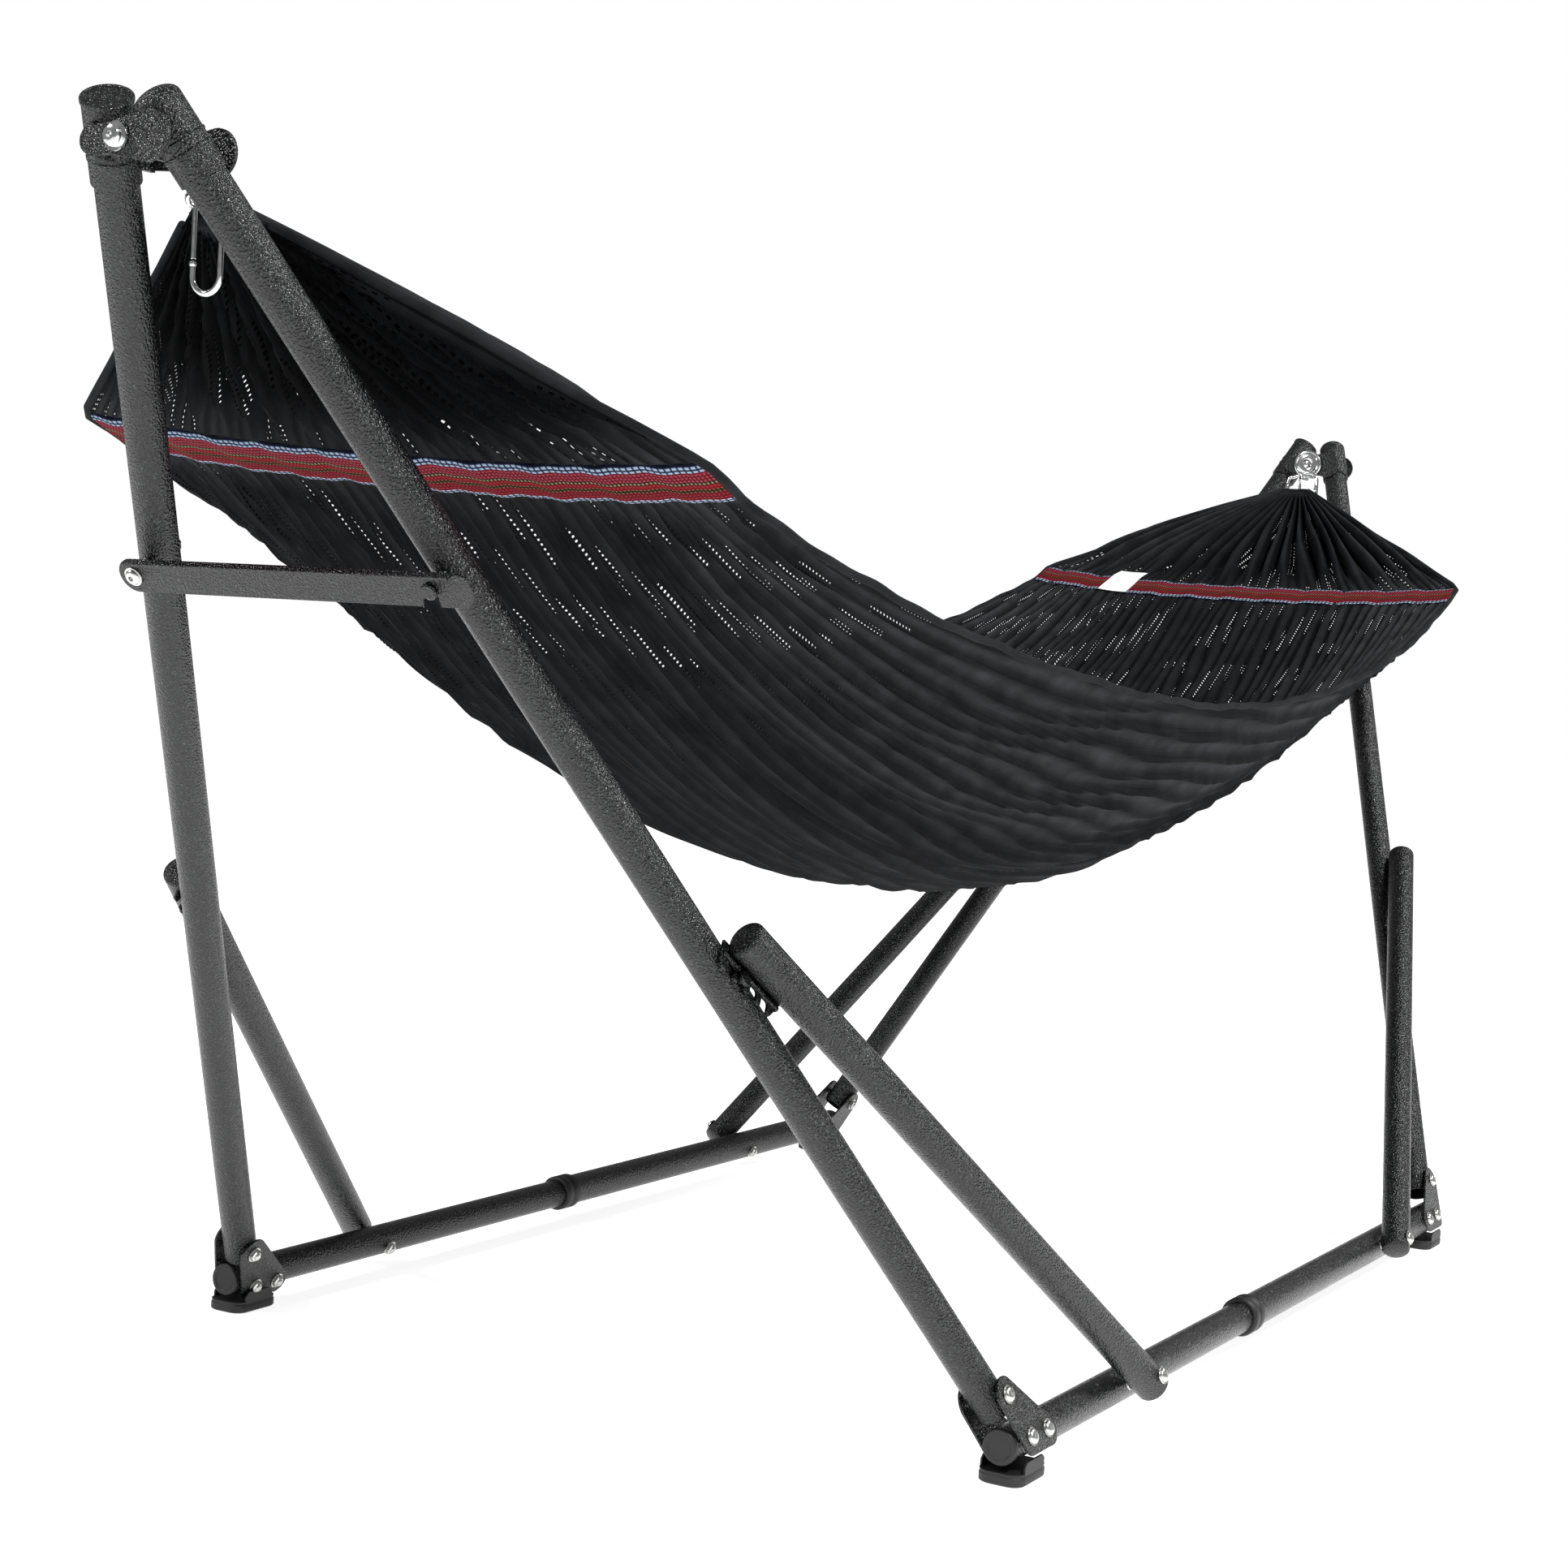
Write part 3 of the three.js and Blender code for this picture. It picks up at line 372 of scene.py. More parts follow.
# Line of the stud on a leg, where the brace's catch plate hooks on.
def studOnLeg():
    x = stand["bracePivot"] + stand["stud"] * math.cos(braceAngle)
    up = stand["stud"] * math.sin(braceAngle)
    return (x - stand["legPivotX"]) * math.cos(legAngle) + (up - stand["legPivotRise"]) * math.sin(legAngle)


catch = {"from": 19.8, "thick": 3.0, "pitch": 18.0, "hold": 9.0, "seat": 5.2}


def makeLegs():
    headFrom = catch["from"] + catch["thick"] + 0.8
    for side in sides:
        for end in ends:
            tube = tubeParts(legPoint(end, side, -stand["legTail"]),
                             legPoint(end, side, stand["legLength"]),
                             stand["tube"], stand["tubeWall"], 56)
            out = sideAxes(side)[1]
            foot = legPoint(end, side, studOnLeg())
            stud = lathe([[0, 17.7], [8, 17.7], [8, 19.2], [4.5, 19.5], [4.5, headFrom], [7.2, headFrom],
                          [8, headFrom + 0.8], [8, headFrom + 2], [6, headFrom + 3.5], [0, headFrom + 3.5]],
                         foot, out, 32)
            parts = [tube, stud]
            if side < 0:
                parts.append(spreaderStud(end))
            corner = f"{endName[end]}_{sideName[side]}"
            addPiece(f"{corner}_leg_tube", parts, coatMaterial, ownerOf[end, side],
                     [f"{corner}_leg"])


def spreaderStud(end):
    out = endAxes(end)[2]
    bar = stand["tube"] + stand["spreaderStandOff"]
    face = bar + stand["spreaderBar"] + 0.6
    profile = [[0, 17.7], [8, 17.7], [8, bar - 0.6], [5, bar - 0.6], [5, face], [7, face], [8, face + 1],
               [8, face + 2.6], [6.4, face + 4], [0, face + 4]]
    return lathe(profile, legPoint(end, -1, stand["legLength"] * stand["spreaderPlace"]), out, 32)


# Brace: a tube with pressed round ends, and the notched catch plate with its weld bead.
def makeBraces():
    radius, length, tail = stand["tube"], stand["braceLength"], 20.0
    turn = np.radians(np.linspace(0, 90, 9))
    cap = 7.0
    profile = [[radius * math.sin(a), -tail + cap * (1 - math.cos(a))] for a in turn]
    profile += [[radius * math.sin(a), length - cap * (1 - math.cos(a))] for a in turn[::-1]]
    place = studOnLeg()
    x = stand["legPivotX"] + place * math.cos(legAngle) - stand["bracePivot"]
    up = stand["legPivotRise"] + place * math.sin(legAngle)
    along = x * math.cos(braceAngle) + up * math.sin(braceAngle)
    across = x * math.sin(braceAngle) - up * math.cos(braceAngle)
    low, high = along - 2 * catch["pitch"] - 12, along + catch["pitch"] + 12
    edge, seat = across + catch["hold"], catch["seat"]
    outline = [[low - 14, 0], [low, edge - 3], [low + 2, edge]]
    for i in (-2, -1, 0, 1):
        middle = along + i * catch["pitch"]
        outline += [[middle - seat - 1.5, edge], [middle - seat, edge - 1.5]]
        outline += arc((middle, across), seat, 180, 360, 13).tolist()
        outline += [[middle + seat, edge - 1.5], [middle + seat + 1.5, edge]]
    outline += [[high, edge], [high + 6, edge - 8], [high + 6, 0]]
    for side in sides:
        xAxis, out, upAxis = sideAxes(side)
        for end in ends:
            axis = unit(bracePoint(end, side, 1) - bracePoint(end, side, 0))
            down = end * math.sin(braceAngle) * xAxis - math.cos(braceAngle) * upAxis
            origin = bracePoint(end, side, 0, catch["from"])
            body = lathe(profile, bracePoint(end, side, 0), axis, 56)
            tab = plate(outline, catch["thick"], origin, (axis, down, out))
            bead = wire(np.linspace(origin + (low - 8) * axis + 1.5 * out + 13 * down,
                                    origin + (high + 3) * axis + 1.5 * out + 13 * down, 24), 3.2, 12)
            corner = f"{endName[end]}_{sideName[side]}"
            addPiece(f"{corner}_brace_tube", [body, tab, bead], coatMaterial, f"{corner}_brace_body",
                     [f"{corner}_brace"], bevel=0.5)


# Button-head screw with a socket, washers, shank and a lock nut, from the head's seat to the nut's seat.
def boltParts(start, stop, radius=4.0, head=8.0, collarSpans=()):
    axis = unit(stop - start)
    grip = np.linalg.norm(stop - start)
    top = [[0, -2.2], [2.2, -2.4], [2.7, -5.2], [4.2, -5.3], [6.3, -4.4], [7.6, -2.9], [head - 0.2, -1.7],
           [head - 0.3, -1.6], [head + 1.4, -1.6], [head + 1.5, -1.4], [head + 1.5, -0.3], [radius, -0.3]]
    for a, b in collarSpans:
        top += [[radius, a], [head, a], [head, b], [radius, b]]
    top += [[radius, grip + 0.3], [head + 1.2, grip + 0.3], [head + 1.2, grip + 1.5], [radius, grip + 1.5],
            [radius, grip + 7.2], [radius - 0.6, grip + 7.8], [0, grip + 7.8]]
    nut = [[0, 1.5], [head - 1.2, 1.5], [head - 0.4, 2.1], [head - 0.4, 4.6], [head - 1.6, 5.4], [5.6, 6.4],
           [0, 6.4]]
    return [lathe(top, start, axis, 36), lathe([[r, grip + h] for r, h in nut], start, axis, 6)]


def makeCorners():
    face = stand["outerRail"] + stand["gap"] + stand["bracket"]
    for side in sides:
        along, out, up = sideAxes(side)
        for end in ends:
            corner, body = f"{endName[end]}_{sideName[side]}", ownerOf[end, side]
            bolts = [end * (stand["railEnd"] - 25 - 38 * i) for i in (0, 1)]
            outline = bandOutline([[end * stand["legPivotX"], stand["legPivotRise"], 19],
                                   [bolts[0] + end * 4, -3, 15], [bolts[1] - end * 4, -3, 15]])
            for name, start in (("outer", face - stand["bracket"]), ("inner", -face)):
                cheek = plate(outline, stand["bracket"], sidePoint(side, 0, start, 0), (along, up, out))
                addPiece(f"{corner}_cheek_{name}", [cheek], coatMaterial, body,
                         [f"{corner}_bracket_{name}"], bevel=0.7)
            places = [("leg_bolt", end * stand["legPivotX"], stand["legPivotRise"])]
            places += [(f"rail_bolt_{i + 1}", x, 0.0) for i, x in enumerate(bolts)]
            for name, x, rise in places:
                parts = boltParts(sidePoint(side, x, face, rise), sidePoint(side, x, -face, rise))
                addPiece(f"{corner}_{name}_set", parts, zincMaterial, body,
                         [f"{corner}_{name}"])
            reach = braceOut + stand["tube"]
            spacer = (2 * stand["tube"] + 0.3, 2 * stand["tube"] + stand["braceSpacer"] - 0.3)
            parts = boltParts(sidePoint(side, end * stand["bracePivot"], reach, 0),
                              sidePoint(side, end * stand["bracePivot"], -stand["outerRail"], 0),
                              collarSpans=[spacer])
            addPiece(f"{corner}_brace_bolt_set", parts, zincMaterial, body,
                     [f"{corner}_brace_bolt"])
            makeFoot(end, side)


# Moulded boot: an open-topped shoe with ribs on its walls that the rail and the cheeks drop into,
# and the round plug that closes the rail.
def makeFoot(end, side):
    shoe = {"nose": 6.0, "length": 72.0, "half": 25.0, "round": 15.0}
    outX, centreY = end * (stand["railEnd"] + shoe["nose"]), side * stand["railSpacing"]
    inX = outX - end * shoe["length"]
    lowX, highX = min(outX, inX), max(outX, inX)
    half, r = shoe["half"], shoe["round"]
    plan = np.vstack([arc((highX - r, centreY + half - r), r, 0, 90, 6),
                      arc((lowX + r, centreY + half - r), r, 90, 180, 6),
                      arc((lowX + r, centreY - half + r), r, 180, 270, 6),
                      arc((highX - r, centreY - half + r), r, 270, 360, 6)])
    middle = np.array([(lowX + highX) / 2, centreY])
    levels = [(0.0, 0.93), (1.5, 1.0), (9.0, 1.0), (10.0, 0.975), (12.0, 0.975), (13.0, 1.0)]
    rings = []
    for z, share in levels:
        rings.append(np.column_stack([middle + (plan - middle) * share, np.full(len(plan), z)]))
    points = np.vstack(rings)
    faces = gridFaces(len(levels), len(plan), True).tolist()
    n = len(plan)
    faces += [list(range(n)), list(range((len(levels) - 1) * n, len(levels) * n))]
    parts = [(points, faces)]
    xAxis, out, up = sideAxes(side)
    for way in (-1, 1):
        wall = [[lowX + 13, -1], [highX - 13, -1], [highX - 13, 8], [highX - 18, 12], [lowX + 18, 12],
                [lowX + 13, 7]]
        origin = np.array([0, centreY + way * (half - 2.6), 12.0])
        parts.append(plate(wall, 2.4 * way, origin, (np.array([1.0, 0, 0]), np.array([0, 0, 1.0]),
                                                     np.array([0, 1.0, 0]))))
    radius = stand["innerRail"] if end < 0 else stand["outerRail"]
    plug = [[0, 0.3], [radius - 0.2, 0.3], [radius, 0.8], [radius, 3.6], [radius - 1.4, 5], [radius - 5, 5],
            [radius - 6, 4.2], [0, 4.2]]
    parts.append(lathe(plug, sidePoint(side, end * stand["railEnd"], 0, 0), end * xAxis, 48))
    corner = f"{endName[end]}_{sideName[side]}"
    addPiece(f"{corner}_boot", parts, plasticMaterial, ownerOf[end, side],
             [f"{corner}_foot"],
             bevel=0.5)


sleeve = {"radius": 21.5, "length": 74.0, "lugRadius": 14.0, "earRadius": 14.5, "earRoot": 21.0, "web": 5.0}
earFrom = stand["lugFrom"] + stand["lug"] + stand["gap"]
earFace = earFrom + stand["lug"]


# Rolled rib round a sleeve, as rows of its profile.
def ribRows(height):
    radius = sleeve["radius"]
    return [[radius, height - 2.2], [radius + 0.9, height - 1], [radius + 0.9, height + 1],
            [radius, height + 2.2]]


# Two plates square to the hinge bolt, and the web that ties them to the sleeve.
def hingePlates(end, outline, start, webY, webHeight):
    x, middle = hingePoint(end)[0], hingePoint(end)[2]
    axes = (np.array([0, 1.0, 0]), np.array([0, 0, 1.0]), np.array([1.0, 0, 0]))
    parts = []
    for at in (start, -start - stand["lug"]):
        parts.append(plate(outline, stand["lug"], np.array([x + at, 0, 0]), axes))
    reach = start + stand["lug"] - 0.4
    web = [[-webHeight, -reach], [webHeight, -reach], [webHeight, reach], [-webHeight, reach]]
    parts.append(plate(web, sleeve["web"], np.array([x, webY - sleeve["web"] / 2, middle]),
                       (axes[1], axes[2], axes[0])))
    return parts


def makeSleeves():
    top, radius, length = stand["legLength"] + stand["gap"], sleeve["radius"], sleeve["length"]
    inner = stand["tube"] + stand["gap"]
    for end in ends:
        hinge = hingePoint(end)
        for side in sides:
            start = legPoint(end, side, top - length)
            axis = unit(legPoint(end, side, 1) - legPoint(end, side, 0))
            root = legPoint(end, side, stand["legLength"] - stand["hingeDrop"])
            profile = [[inner, 0], [radius - 0.5, 0], [radius, 0.6]] + ribRows(24) + ribRows(34)
            if side > 0:
                profile += [[radius, length - 1.5], [radius + 1, length - 0.8], [radius + 1, length + 2.2],
                            [radius + 0.3, length + 3], [radius - 1.6, length + 3],
                            [radius - 2, length + 2.4],
                            [0, length + 2.4]]
                outline = bandOutline([[hinge[1], hinge[2], sleeve["lugRadius"]],
                                       [root[1] - 11, root[2], 12.0]])
                plates = hingePlates(end, outline, stand["lugFrom"], root[1] - radius / 2, 13.6)
            else:
                dome = np.radians(np.linspace(0, 90, 10))
                profile += [[radius * math.cos(a), length - 6 + 12 * math.sin(a)] for a in dome]
                outline = bandOutline([[hinge[1], hinge[2], sleeve["earRadius"]],
                                       [root[1], root[2], sleeve["earRoot"]]])
                plates = hingePlates(end, outline, earFrom,
                                     hinge[1] - sleeve["lugRadius"] - 1 - sleeve["web"] / 2, 14.1)
            profile += [[0, length - 0.1], [inner, length - 0.1], [inner, 0]]
            kind = f"{endName[end]}_{sideName[side]}"
            addPiece(f"{kind}_socket", [lathe(profile, start, axis, 56)] + plates, coatMaterial,
                     ownerOf[end, side],
                     [f"{kind}_sleeve"], bevel=0.6)


# Pressed spreader bar: rounded ends, a flange along its upper edge, and a slot open below that
# drops over the right leg's stud, with a tongue past it.
def makeSpreaders():
    half, seat, tongue, mouth = 17.0, 5.8, 28.0, 9.3
    for end in ends:
        across, slope, out = endAxes(end)
        pivot = legPoint(end, 1, stand["legLength"] * stand["spreaderPlace"])
        span = 2 * pivot[1]
        outline = arc((0, 0), half, -90, 90, 20).tolist()
        outline += arc((-span - tongue, 0), half, 90, 270, 24).tolist()
        outline += [[-span - seat, -half]] + arc((-span, 0), seat, 180, 0, 14).tolist()
        outline += [[-span + seat + mouth, -half]]
        bar = stand["tube"] + stand["spreaderStandOff"]
        body = plate(outline, stand["spreaderBar"], pivot + out * bar, (across, slope, out))
        reach = -span - tongue
        lip = [[3, half - 2.4], [3, half + 0.6], [reach, half + 0.6], [reach, half - 2.4]]
        flange = plate(lip, 9.0, pivot + out * (bar + stand["spreaderBar"] / 2), (across, slope, out))
        name = endName[end]
        addPiece(f"{name}_spreader_bar", [body, flange], coatMaterial, f"{name}_spreader_body",
                 [f"{name}_spreader"], bevel=0.6)
        grip = stand["tube"] + bar + stand["spreaderBar"]
        spacer = (stand["spreaderBar"] + 0.3, stand["spreaderBar"] + stand["spreaderStandOff"] - 0.3)
        start = pivot + out * (bar + stand["spreaderBar"])
        addPiece(f"{name}_spreader_bolt_set", boltParts(start, start - out * grip, collarSpans=[spacer]),
                 zincMaterial, ownerOf[end, 1], [f"{name}_spreader_bolt"])


hanger = {"disc": 24.0, "thick": 6.0, "wire": 3.2, "drop": 28.6, "reach": 37.0, "tip": 12.0,
          "clip": 2.75, "clipLong": 100.0, "clipWide": 36.0, "clipPlace": 15.6, "clipLean": -8.5,
          "claw": 2.6,
          "clawSpread": 26.0}


def discCentre(end):
    return hingePoint(end) - np.array([end * (earFace + stand["gap"]), 0, 0])


# A point beside the hook's level run: along it towards the hammock, across, and up.
def hookRun(end, inwards, across, up):
    start = discCentre(end)
    x = start[0] - end * (hanger["thick"] / 2 + inwards)
    return np.array([x, start[1] + across, start[2] - hanger["drop"] + up])


def makeHooks():
    for end in ends:
        hinge, centre, inwards = hingePoint(end), discCentre(end), np.array([-float(end), 0, 0])
        shaft = [[0, -earFace - 6.4], [2.6, -earFace - 6.6], [3, -earFace - 10], [5, -earFace - 10.1],
                 [7.8, -earFace - 8.8], [9, -earFace - 6.6], [9, -earFace - 3.4], [12, -earFace - 3.3],
                 [12.2, -earFace - 2.2], [11.4, -earFace - 2.1], [11.6, -earFace - 0.4],
                 [5, -earFace - 0.3],
                 [5, earFace + 3], [0, earFace + 3]]
        disc = [[0, 0.2], [21, 0.2], [23, 0.6], [24, 1.6], [24, 4.6], [23.2, 5.6], [22, 6], [20.6, 5.8],
                [19.6, 4.8],
                [18.8, 4.2], [18.6, 5.2], [17.6, 5.9], [8, 6.1], [7, 5.6], [6, 6.2], [0, 6.6]]
        start = centre + inwards * hanger["thick"] / 2
        bend, reachIn, drop = 8.0, hanger["reach"], hanger["drop"]
        route = [(0, hanger["disc"] - 10), (0, drop - bend), (bend * 0.3, drop - bend * 0.3), (bend, drop),
                 (reachIn - bend, drop), (reachIn - bend * 0.3, drop - bend * 0.3), (reachIn, drop - bend),
                 (reachIn, drop - hanger["tip"])]
        points = [start + inwards * inward - np.array([0, 0, down]) for inward, down in route]
        parts = [lathe(shaft, hinge, inwards, 48), lathe(disc, centre, inwards, 64),
                 wire(smoothPath(points, 8), hanger["wire"], 20)]
        name = endName[end]
        addPiece(f"{name}_hook_set", parts, chromeMaterial, ownerOf[end, 1],
                 [f"{name}_hook"])
        makeClaw(end)
        makeCarabiner(end)


# Double claw: a bow over the hook's run and a curled wire leg down to the cloth on each side.
def makeClaw(end):
    place, top = hanger["reach"] - 13, hanger["wire"] + hanger["claw"] + 0.3
    down = hookRun(end, 0, 0, 0)[2] - cloth["endHeight"][endName[end]] - 4.0
    spread = hanger["clawSpread"]
    parts = []
    for way in (1, -1):
        points = [hookRun(end, place, 0, top), hookRun(end, place, way * spread * 0.3, top),
                  hookRun(end, place, way * spread * 0.6, top * 0.6),
                  hookRun(end, place, way * spread * 0.9, top * 0.3),
                  hookRun(end, place + 3, way * spread, -down * 0.6),
                  hookRun(end, place + 8, way * spread, -down)]
        parts.append(wire(smoothPath(points, 8), hanger["claw"], 18))
    name = endName[end]
    addPiece(f"{name}_claw_wire", parts, chromeMaterial, ownerOf[end, 1], [f"{name}_claw"])


def makeCarabiner(end):
    turn = hanger["clipWide"] / 2 - hanger["clip"]
    flank = hanger["clipLong"] / 2 - turn - hanger["clip"]
    room = turn - hanger["wire"] - hanger["clip"] - stand["gap"]
    below = math.sqrt(room * room - hanger["clipLean"] ** 2)
    centre = hookRun(end, hanger["clipPlace"], hanger["clipLean"], -below - flank)
    low = arc((0, -flank), turn, 0, -180, 25)
    high = arc((0, flank), turn, 180, 0, 25)
    flat = np.vstack([[[turn, -flank + 12]], low, [[-turn, 0]], high])
    path = centre + np.column_stack([np.zeros(len(flat)), flat])
    name = endName[end]
    nose = lathe([[0, -4.4], [3.3, -4.4], [3.6, -3.4], [3.6, -1.0], [3.0, -0.4], [0, -0.4]], path[0],
                 np.array([0, 0, 1.0]), 24)
    addPiece(f"{name}_carabiner_wire", [wire(path, hanger["clip"], 20), nose], chromeMaterial,
             f"{name}_carabiner_body", [f"{name}_carabiner"])
    length = flank - (-flank + 12) - 3.2
    bar = [[0, 0], [1.9, 0], [2.4, 0.6], [2.4, length - 6], [1.8, length - 5.4], [1.8, length - 2],
           [2.4, length - 1.4],
           [2.4, length - 0.5], [1.8, length], [0, length]]
    start = path[0] + np.array([0, 0, 1.6])
    addPiece(f"{name}_gate_bar", [lathe(bar, start, np.array([0, 0, 1.0]), 28)], chromeMaterial,
             f"{name}_gate_body", [f"{name}_gate"])


# Sizes of the cloth, in millimetres.
cloth = {
    "endX": 1392.0, "endHalf": 27.0, "endHeight": {"near": 1152.0, "far": 1138.0},
    "bandIn": 1104.0, "bandOut": 1166.0, "bandHalf": 360.0, "bandLow": 943.0, "bandRise": 26.0,
    "bandSag": 16.0,
    "half": 410.0, "low": 518.0, "rim": 772.0, "power": 2.6,
    "nearTilt": 20.0, "farTilt": 5.0, "farDrop": 9.0,
}

makeRails()
makeLegs()
makeBraces()
makeCorners()
makeSleeves()
makeSpreaders()
makeHooks()
print("stand and hooks made")


# Height and half width of the cloth's section at each place along it, and how far its edges tilt.
def clothSection(x):
    at = np.abs(x)
    inner, outer, last = cloth["bandIn"], cloth["bandOut"], cloth["endX"]
    share = np.clip(at / inner, 0, 1) ** 2
    band = np.clip((at - inner) / (outer - inner), 0, 1)
    fan = np.clip((at - outer) / (last - outer), 0, 1)
    near = x < 0
    endHeight = np.where(near, cloth["endHeight"]["near"], cloth["endHeight"]["far"])
    half = cloth["half"] + (cloth["bandHalf"] - cloth["half"]) * share
    half = half + (cloth["endHalf"] - cloth["bandHalf"]) * fan
    low = cloth["low"] + (cloth["bandLow"] - cloth["low"]) * share + cloth["bandRise"] * band
    low = low + (endHeight - cloth["bandLow"] - cloth["bandRise"]) * fan
    depth = cloth["rim"] - cloth["low"] + (cloth["bandSag"] - cloth["rim"] + cloth["low"]) * share
    depth = depth * (1 - fan)
    pull = np.clip((at - 300) / (inner - 300), 0, 1)
    pull = pull * pull * (3 - 2 * pull) * (1 - fan)
    tilt = pull * np.where(near, cloth["nearTilt"], cloth["farTilt"])
    drop = pull * np.where(near, 0.0, cloth["farDrop"])
    return half, low, depth, tilt, drop


def clothPoint(x, v, lift=0.0):
    half, low, depth, tilt, drop = clothSection(x)
    return np.stack([x, half * v, low + depth * np.abs(v) ** cloth["power"] + tilt * v - drop + lift], -1)


# Slow random waves, always the same ones: a few cosines with set lengths and phases.
def slowWave(a, b, seed):
    made = np.random.default_rng(seed)
    total = 0
    for strength in (1.0, 0.6, 0.4):
        fa, fb, phase = made.uniform(1.2, 3.4), made.uniform(1.5, 4.5), made.uniform(0, 6.28)
        total = total + strength * np.cos(fa * a + fb * b + phase)
    return total / 2.0


def smoothStep(value, start, stop):
    t = np.clip((value - start) / (stop - start), 0, 1)
    return t * t * (3 - 2 * t)


# Folds of the cloth: the grid, how many ridges and pleats cross it, and their heights in millimetres.
folds = {
    "rows": 200, "columns": 240, "thick": 1.1,
    "ridges": 22, "ridge": 9.0, "rimRidge": 6.0, "ripple": 3.4, "belly": 9.0, "calm": 0.85,
    "gathers": 19, "pleatStart": 4.0, "pleat": 16.0, "pleatEnd": 3.0,
}


# Cloth surface = the section's smooth trough, moved square to itself by lengthwise ridges (round
# crests, narrow valleys), broad slack folds in the belly, and deep pleats where the ends gather.
def makeCloth():
    last, inner, outer = cloth["endX"], cloth["bandIn"], cloth["bandOut"]
    rows, columns = folds["rows"], folds["columns"]
    x = np.linspace(-last, last, rows)
    v = np.linspace(-1, 1, columns)
    gx, gv = np.meshgrid(x, v, indexing="ij")
    at = np.abs(gx)
    base = clothPoint(gx, gv)
    along = np.gradient(base, axis=0)
    across = np.gradient(base, axis=1)
    normal = np.cross(along, across)
    normal /= np.linalg.norm(normal, axis=-1)[..., None]
    wander = 0.9 * slowWave(gx / 420, gv * 2.0, 3) + 0.3 * slowWave(gx / 150, gv * 6.0, 8)
    phase = np.pi * (folds["ridges"] * gv + wander)
    crest = np.abs(np.sin(phase)) ** 0.8
    uneven = 0.8 + 0.55 * slowWave(gx / 400, gv * 9.0, 5)
    ridgeHeight = folds["ridge"] + folds["rimRidge"] * smoothStep(np.abs(gv), 0.15, 0.7)
    ridge = (crest - 0.55) * uneven * ridgeHeight
    calm = 1 - folds["calm"] * smoothStep(at, inner - 40, inner) * (1 - smoothStep(at, outer, outer + 40))
    belly = folds["belly"] * slowWave(gx / 260, gv * 7.0, 12) * (1 - smoothStep(np.abs(gv), 0.35, 0.95))
    belly = belly * (1 - smoothStep(at, 700, inner - 60))
    nearBand = np.exp(-np.abs(at - (inner - 8)) / 70) * (at < inner)
    small = np.abs(np.sin(np.pi * (1.9 * folds["ridges"] * gv + 0.4 * wander))) * folds["ripple"] * nearBand
    fan = smoothStep(at, outer, outer + 60)
    pleat = np.abs(np.sin(np.pi * (folds["gathers"] * gv / 2 + 0.25 + 0.22 * slowWave(gx / 90, gv * 5.0,
                                                                                      21))))
    narrowing = np.clip((at - outer) / (last - outer), 0, 1)
    swell = folds["pleat"] * np.sin(np.pi * narrowing ** 0.8)
    deep = (pleat - 0.5) * 2 * (folds["pleatStart"] + swell + folds["pleatEnd"] * narrowing)
    offset = (ridge + belly + small) * calm * (1 - fan) + deep * fan
    edge = smoothStep(1 - np.abs(gv), 0.0, 0.03)
    edge = edge + (1 - edge) * 0.3 * (1 - fan)
    points = base + normal * (offset * edge)[..., None]
    grid = gridFaces(rows, columns)
    made = makeObject("hammock_cloth_sheet", [(points.reshape(-1, 3), grid)], clothMaterial, 180,
                      merge=False)
    lengths = np.concatenate([[0], np.cumsum(np.linalg.norm(np.diff(base[:, columns // 2], axis=0),
                                                            axis=-1))])
    widths = np.cumsum(np.linalg.norm(across, axis=-1), axis=1)
    middle = widths[rows // 2] - widths[rows // 2][columns // 2]
    flat = np.stack([np.broadcast_to(middle[None, :], gx.shape),
                     np.broadcast_to(lengths[:, None], gx.shape)], -1)
    setUv(made, flat.reshape(-1, 2) * mm)
    cluster = smoothStep(slowWave(gx / 70, gv * 11.0, 31) + 0.25, 0.0, 0.5)
    valley = np.clip(1.35 - crest * 1.5, 0, 1) * smoothStep(at, 620, 800) * cluster
    valley = np.maximum(valley * (1 - fan), fan * np.clip(1.3 - pleat * 1.4, 0, 1) * cluster)
    setShade(made, "stretch", valley.reshape(-1))
    # Painted highlight: the knit is drawn paler on the fold crests and gathered pleats, more so towards the
    # rims.
    rimGlow = (0.3 + 0.7 * smoothStep(np.abs(gv), 0.35, 0.85)) * (crest * (1 - fan) + fan * pleat) ** 2
    setShade(made, "paintedCrestHighlight", rimGlow.reshape(-1))
    thick = made.modifiers.new("thickness", "SOLIDIFY")
    thick.thickness = folds["thick"] * mm
    thick.offset = 0.0
    return made


def setUv(made, perVertex):
    layer = made.data.uv_layers.new(name="flat")
    index = np.empty(len(made.data.loops), int)
    made.data.loops.foreach_get("vertex_index", index)
    layer.data.foreach_set("uv", perVertex[index].astype(np.float32).ravel())


def setShade(made, name, perVertex):
    layer = made.data.attributes.new(name, "FLOAT", "POINT")
    layer.data.foreach_set("value", np.asarray(perVertex, np.float32).ravel())


# Folded hem: a soft roll along each long edge of the cloth.
def makeHem(side):
    hem = {"radius": 4.2, "short": 14, "steps": 190, "sides": 12}
    x = np.linspace(-cloth["endX"] + hem["short"], cloth["endX"] - hem["short"], hem["steps"])
    path = clothPoint(x, side * np.ones_like(x))
    path[:, 2] += 1.2 * np.sin(x / 37.0) + 0.8 * np.sin(x / 13.0)
    path[:, 1] += side * (1.0 + 0.8 * np.sin(x / 21.0))
    roll = wire(path, hem["radius"], hem["sides"])
    return makeObject(f"hammock_hem_{sideName[side]}", [roll], hemMaterial, 60)


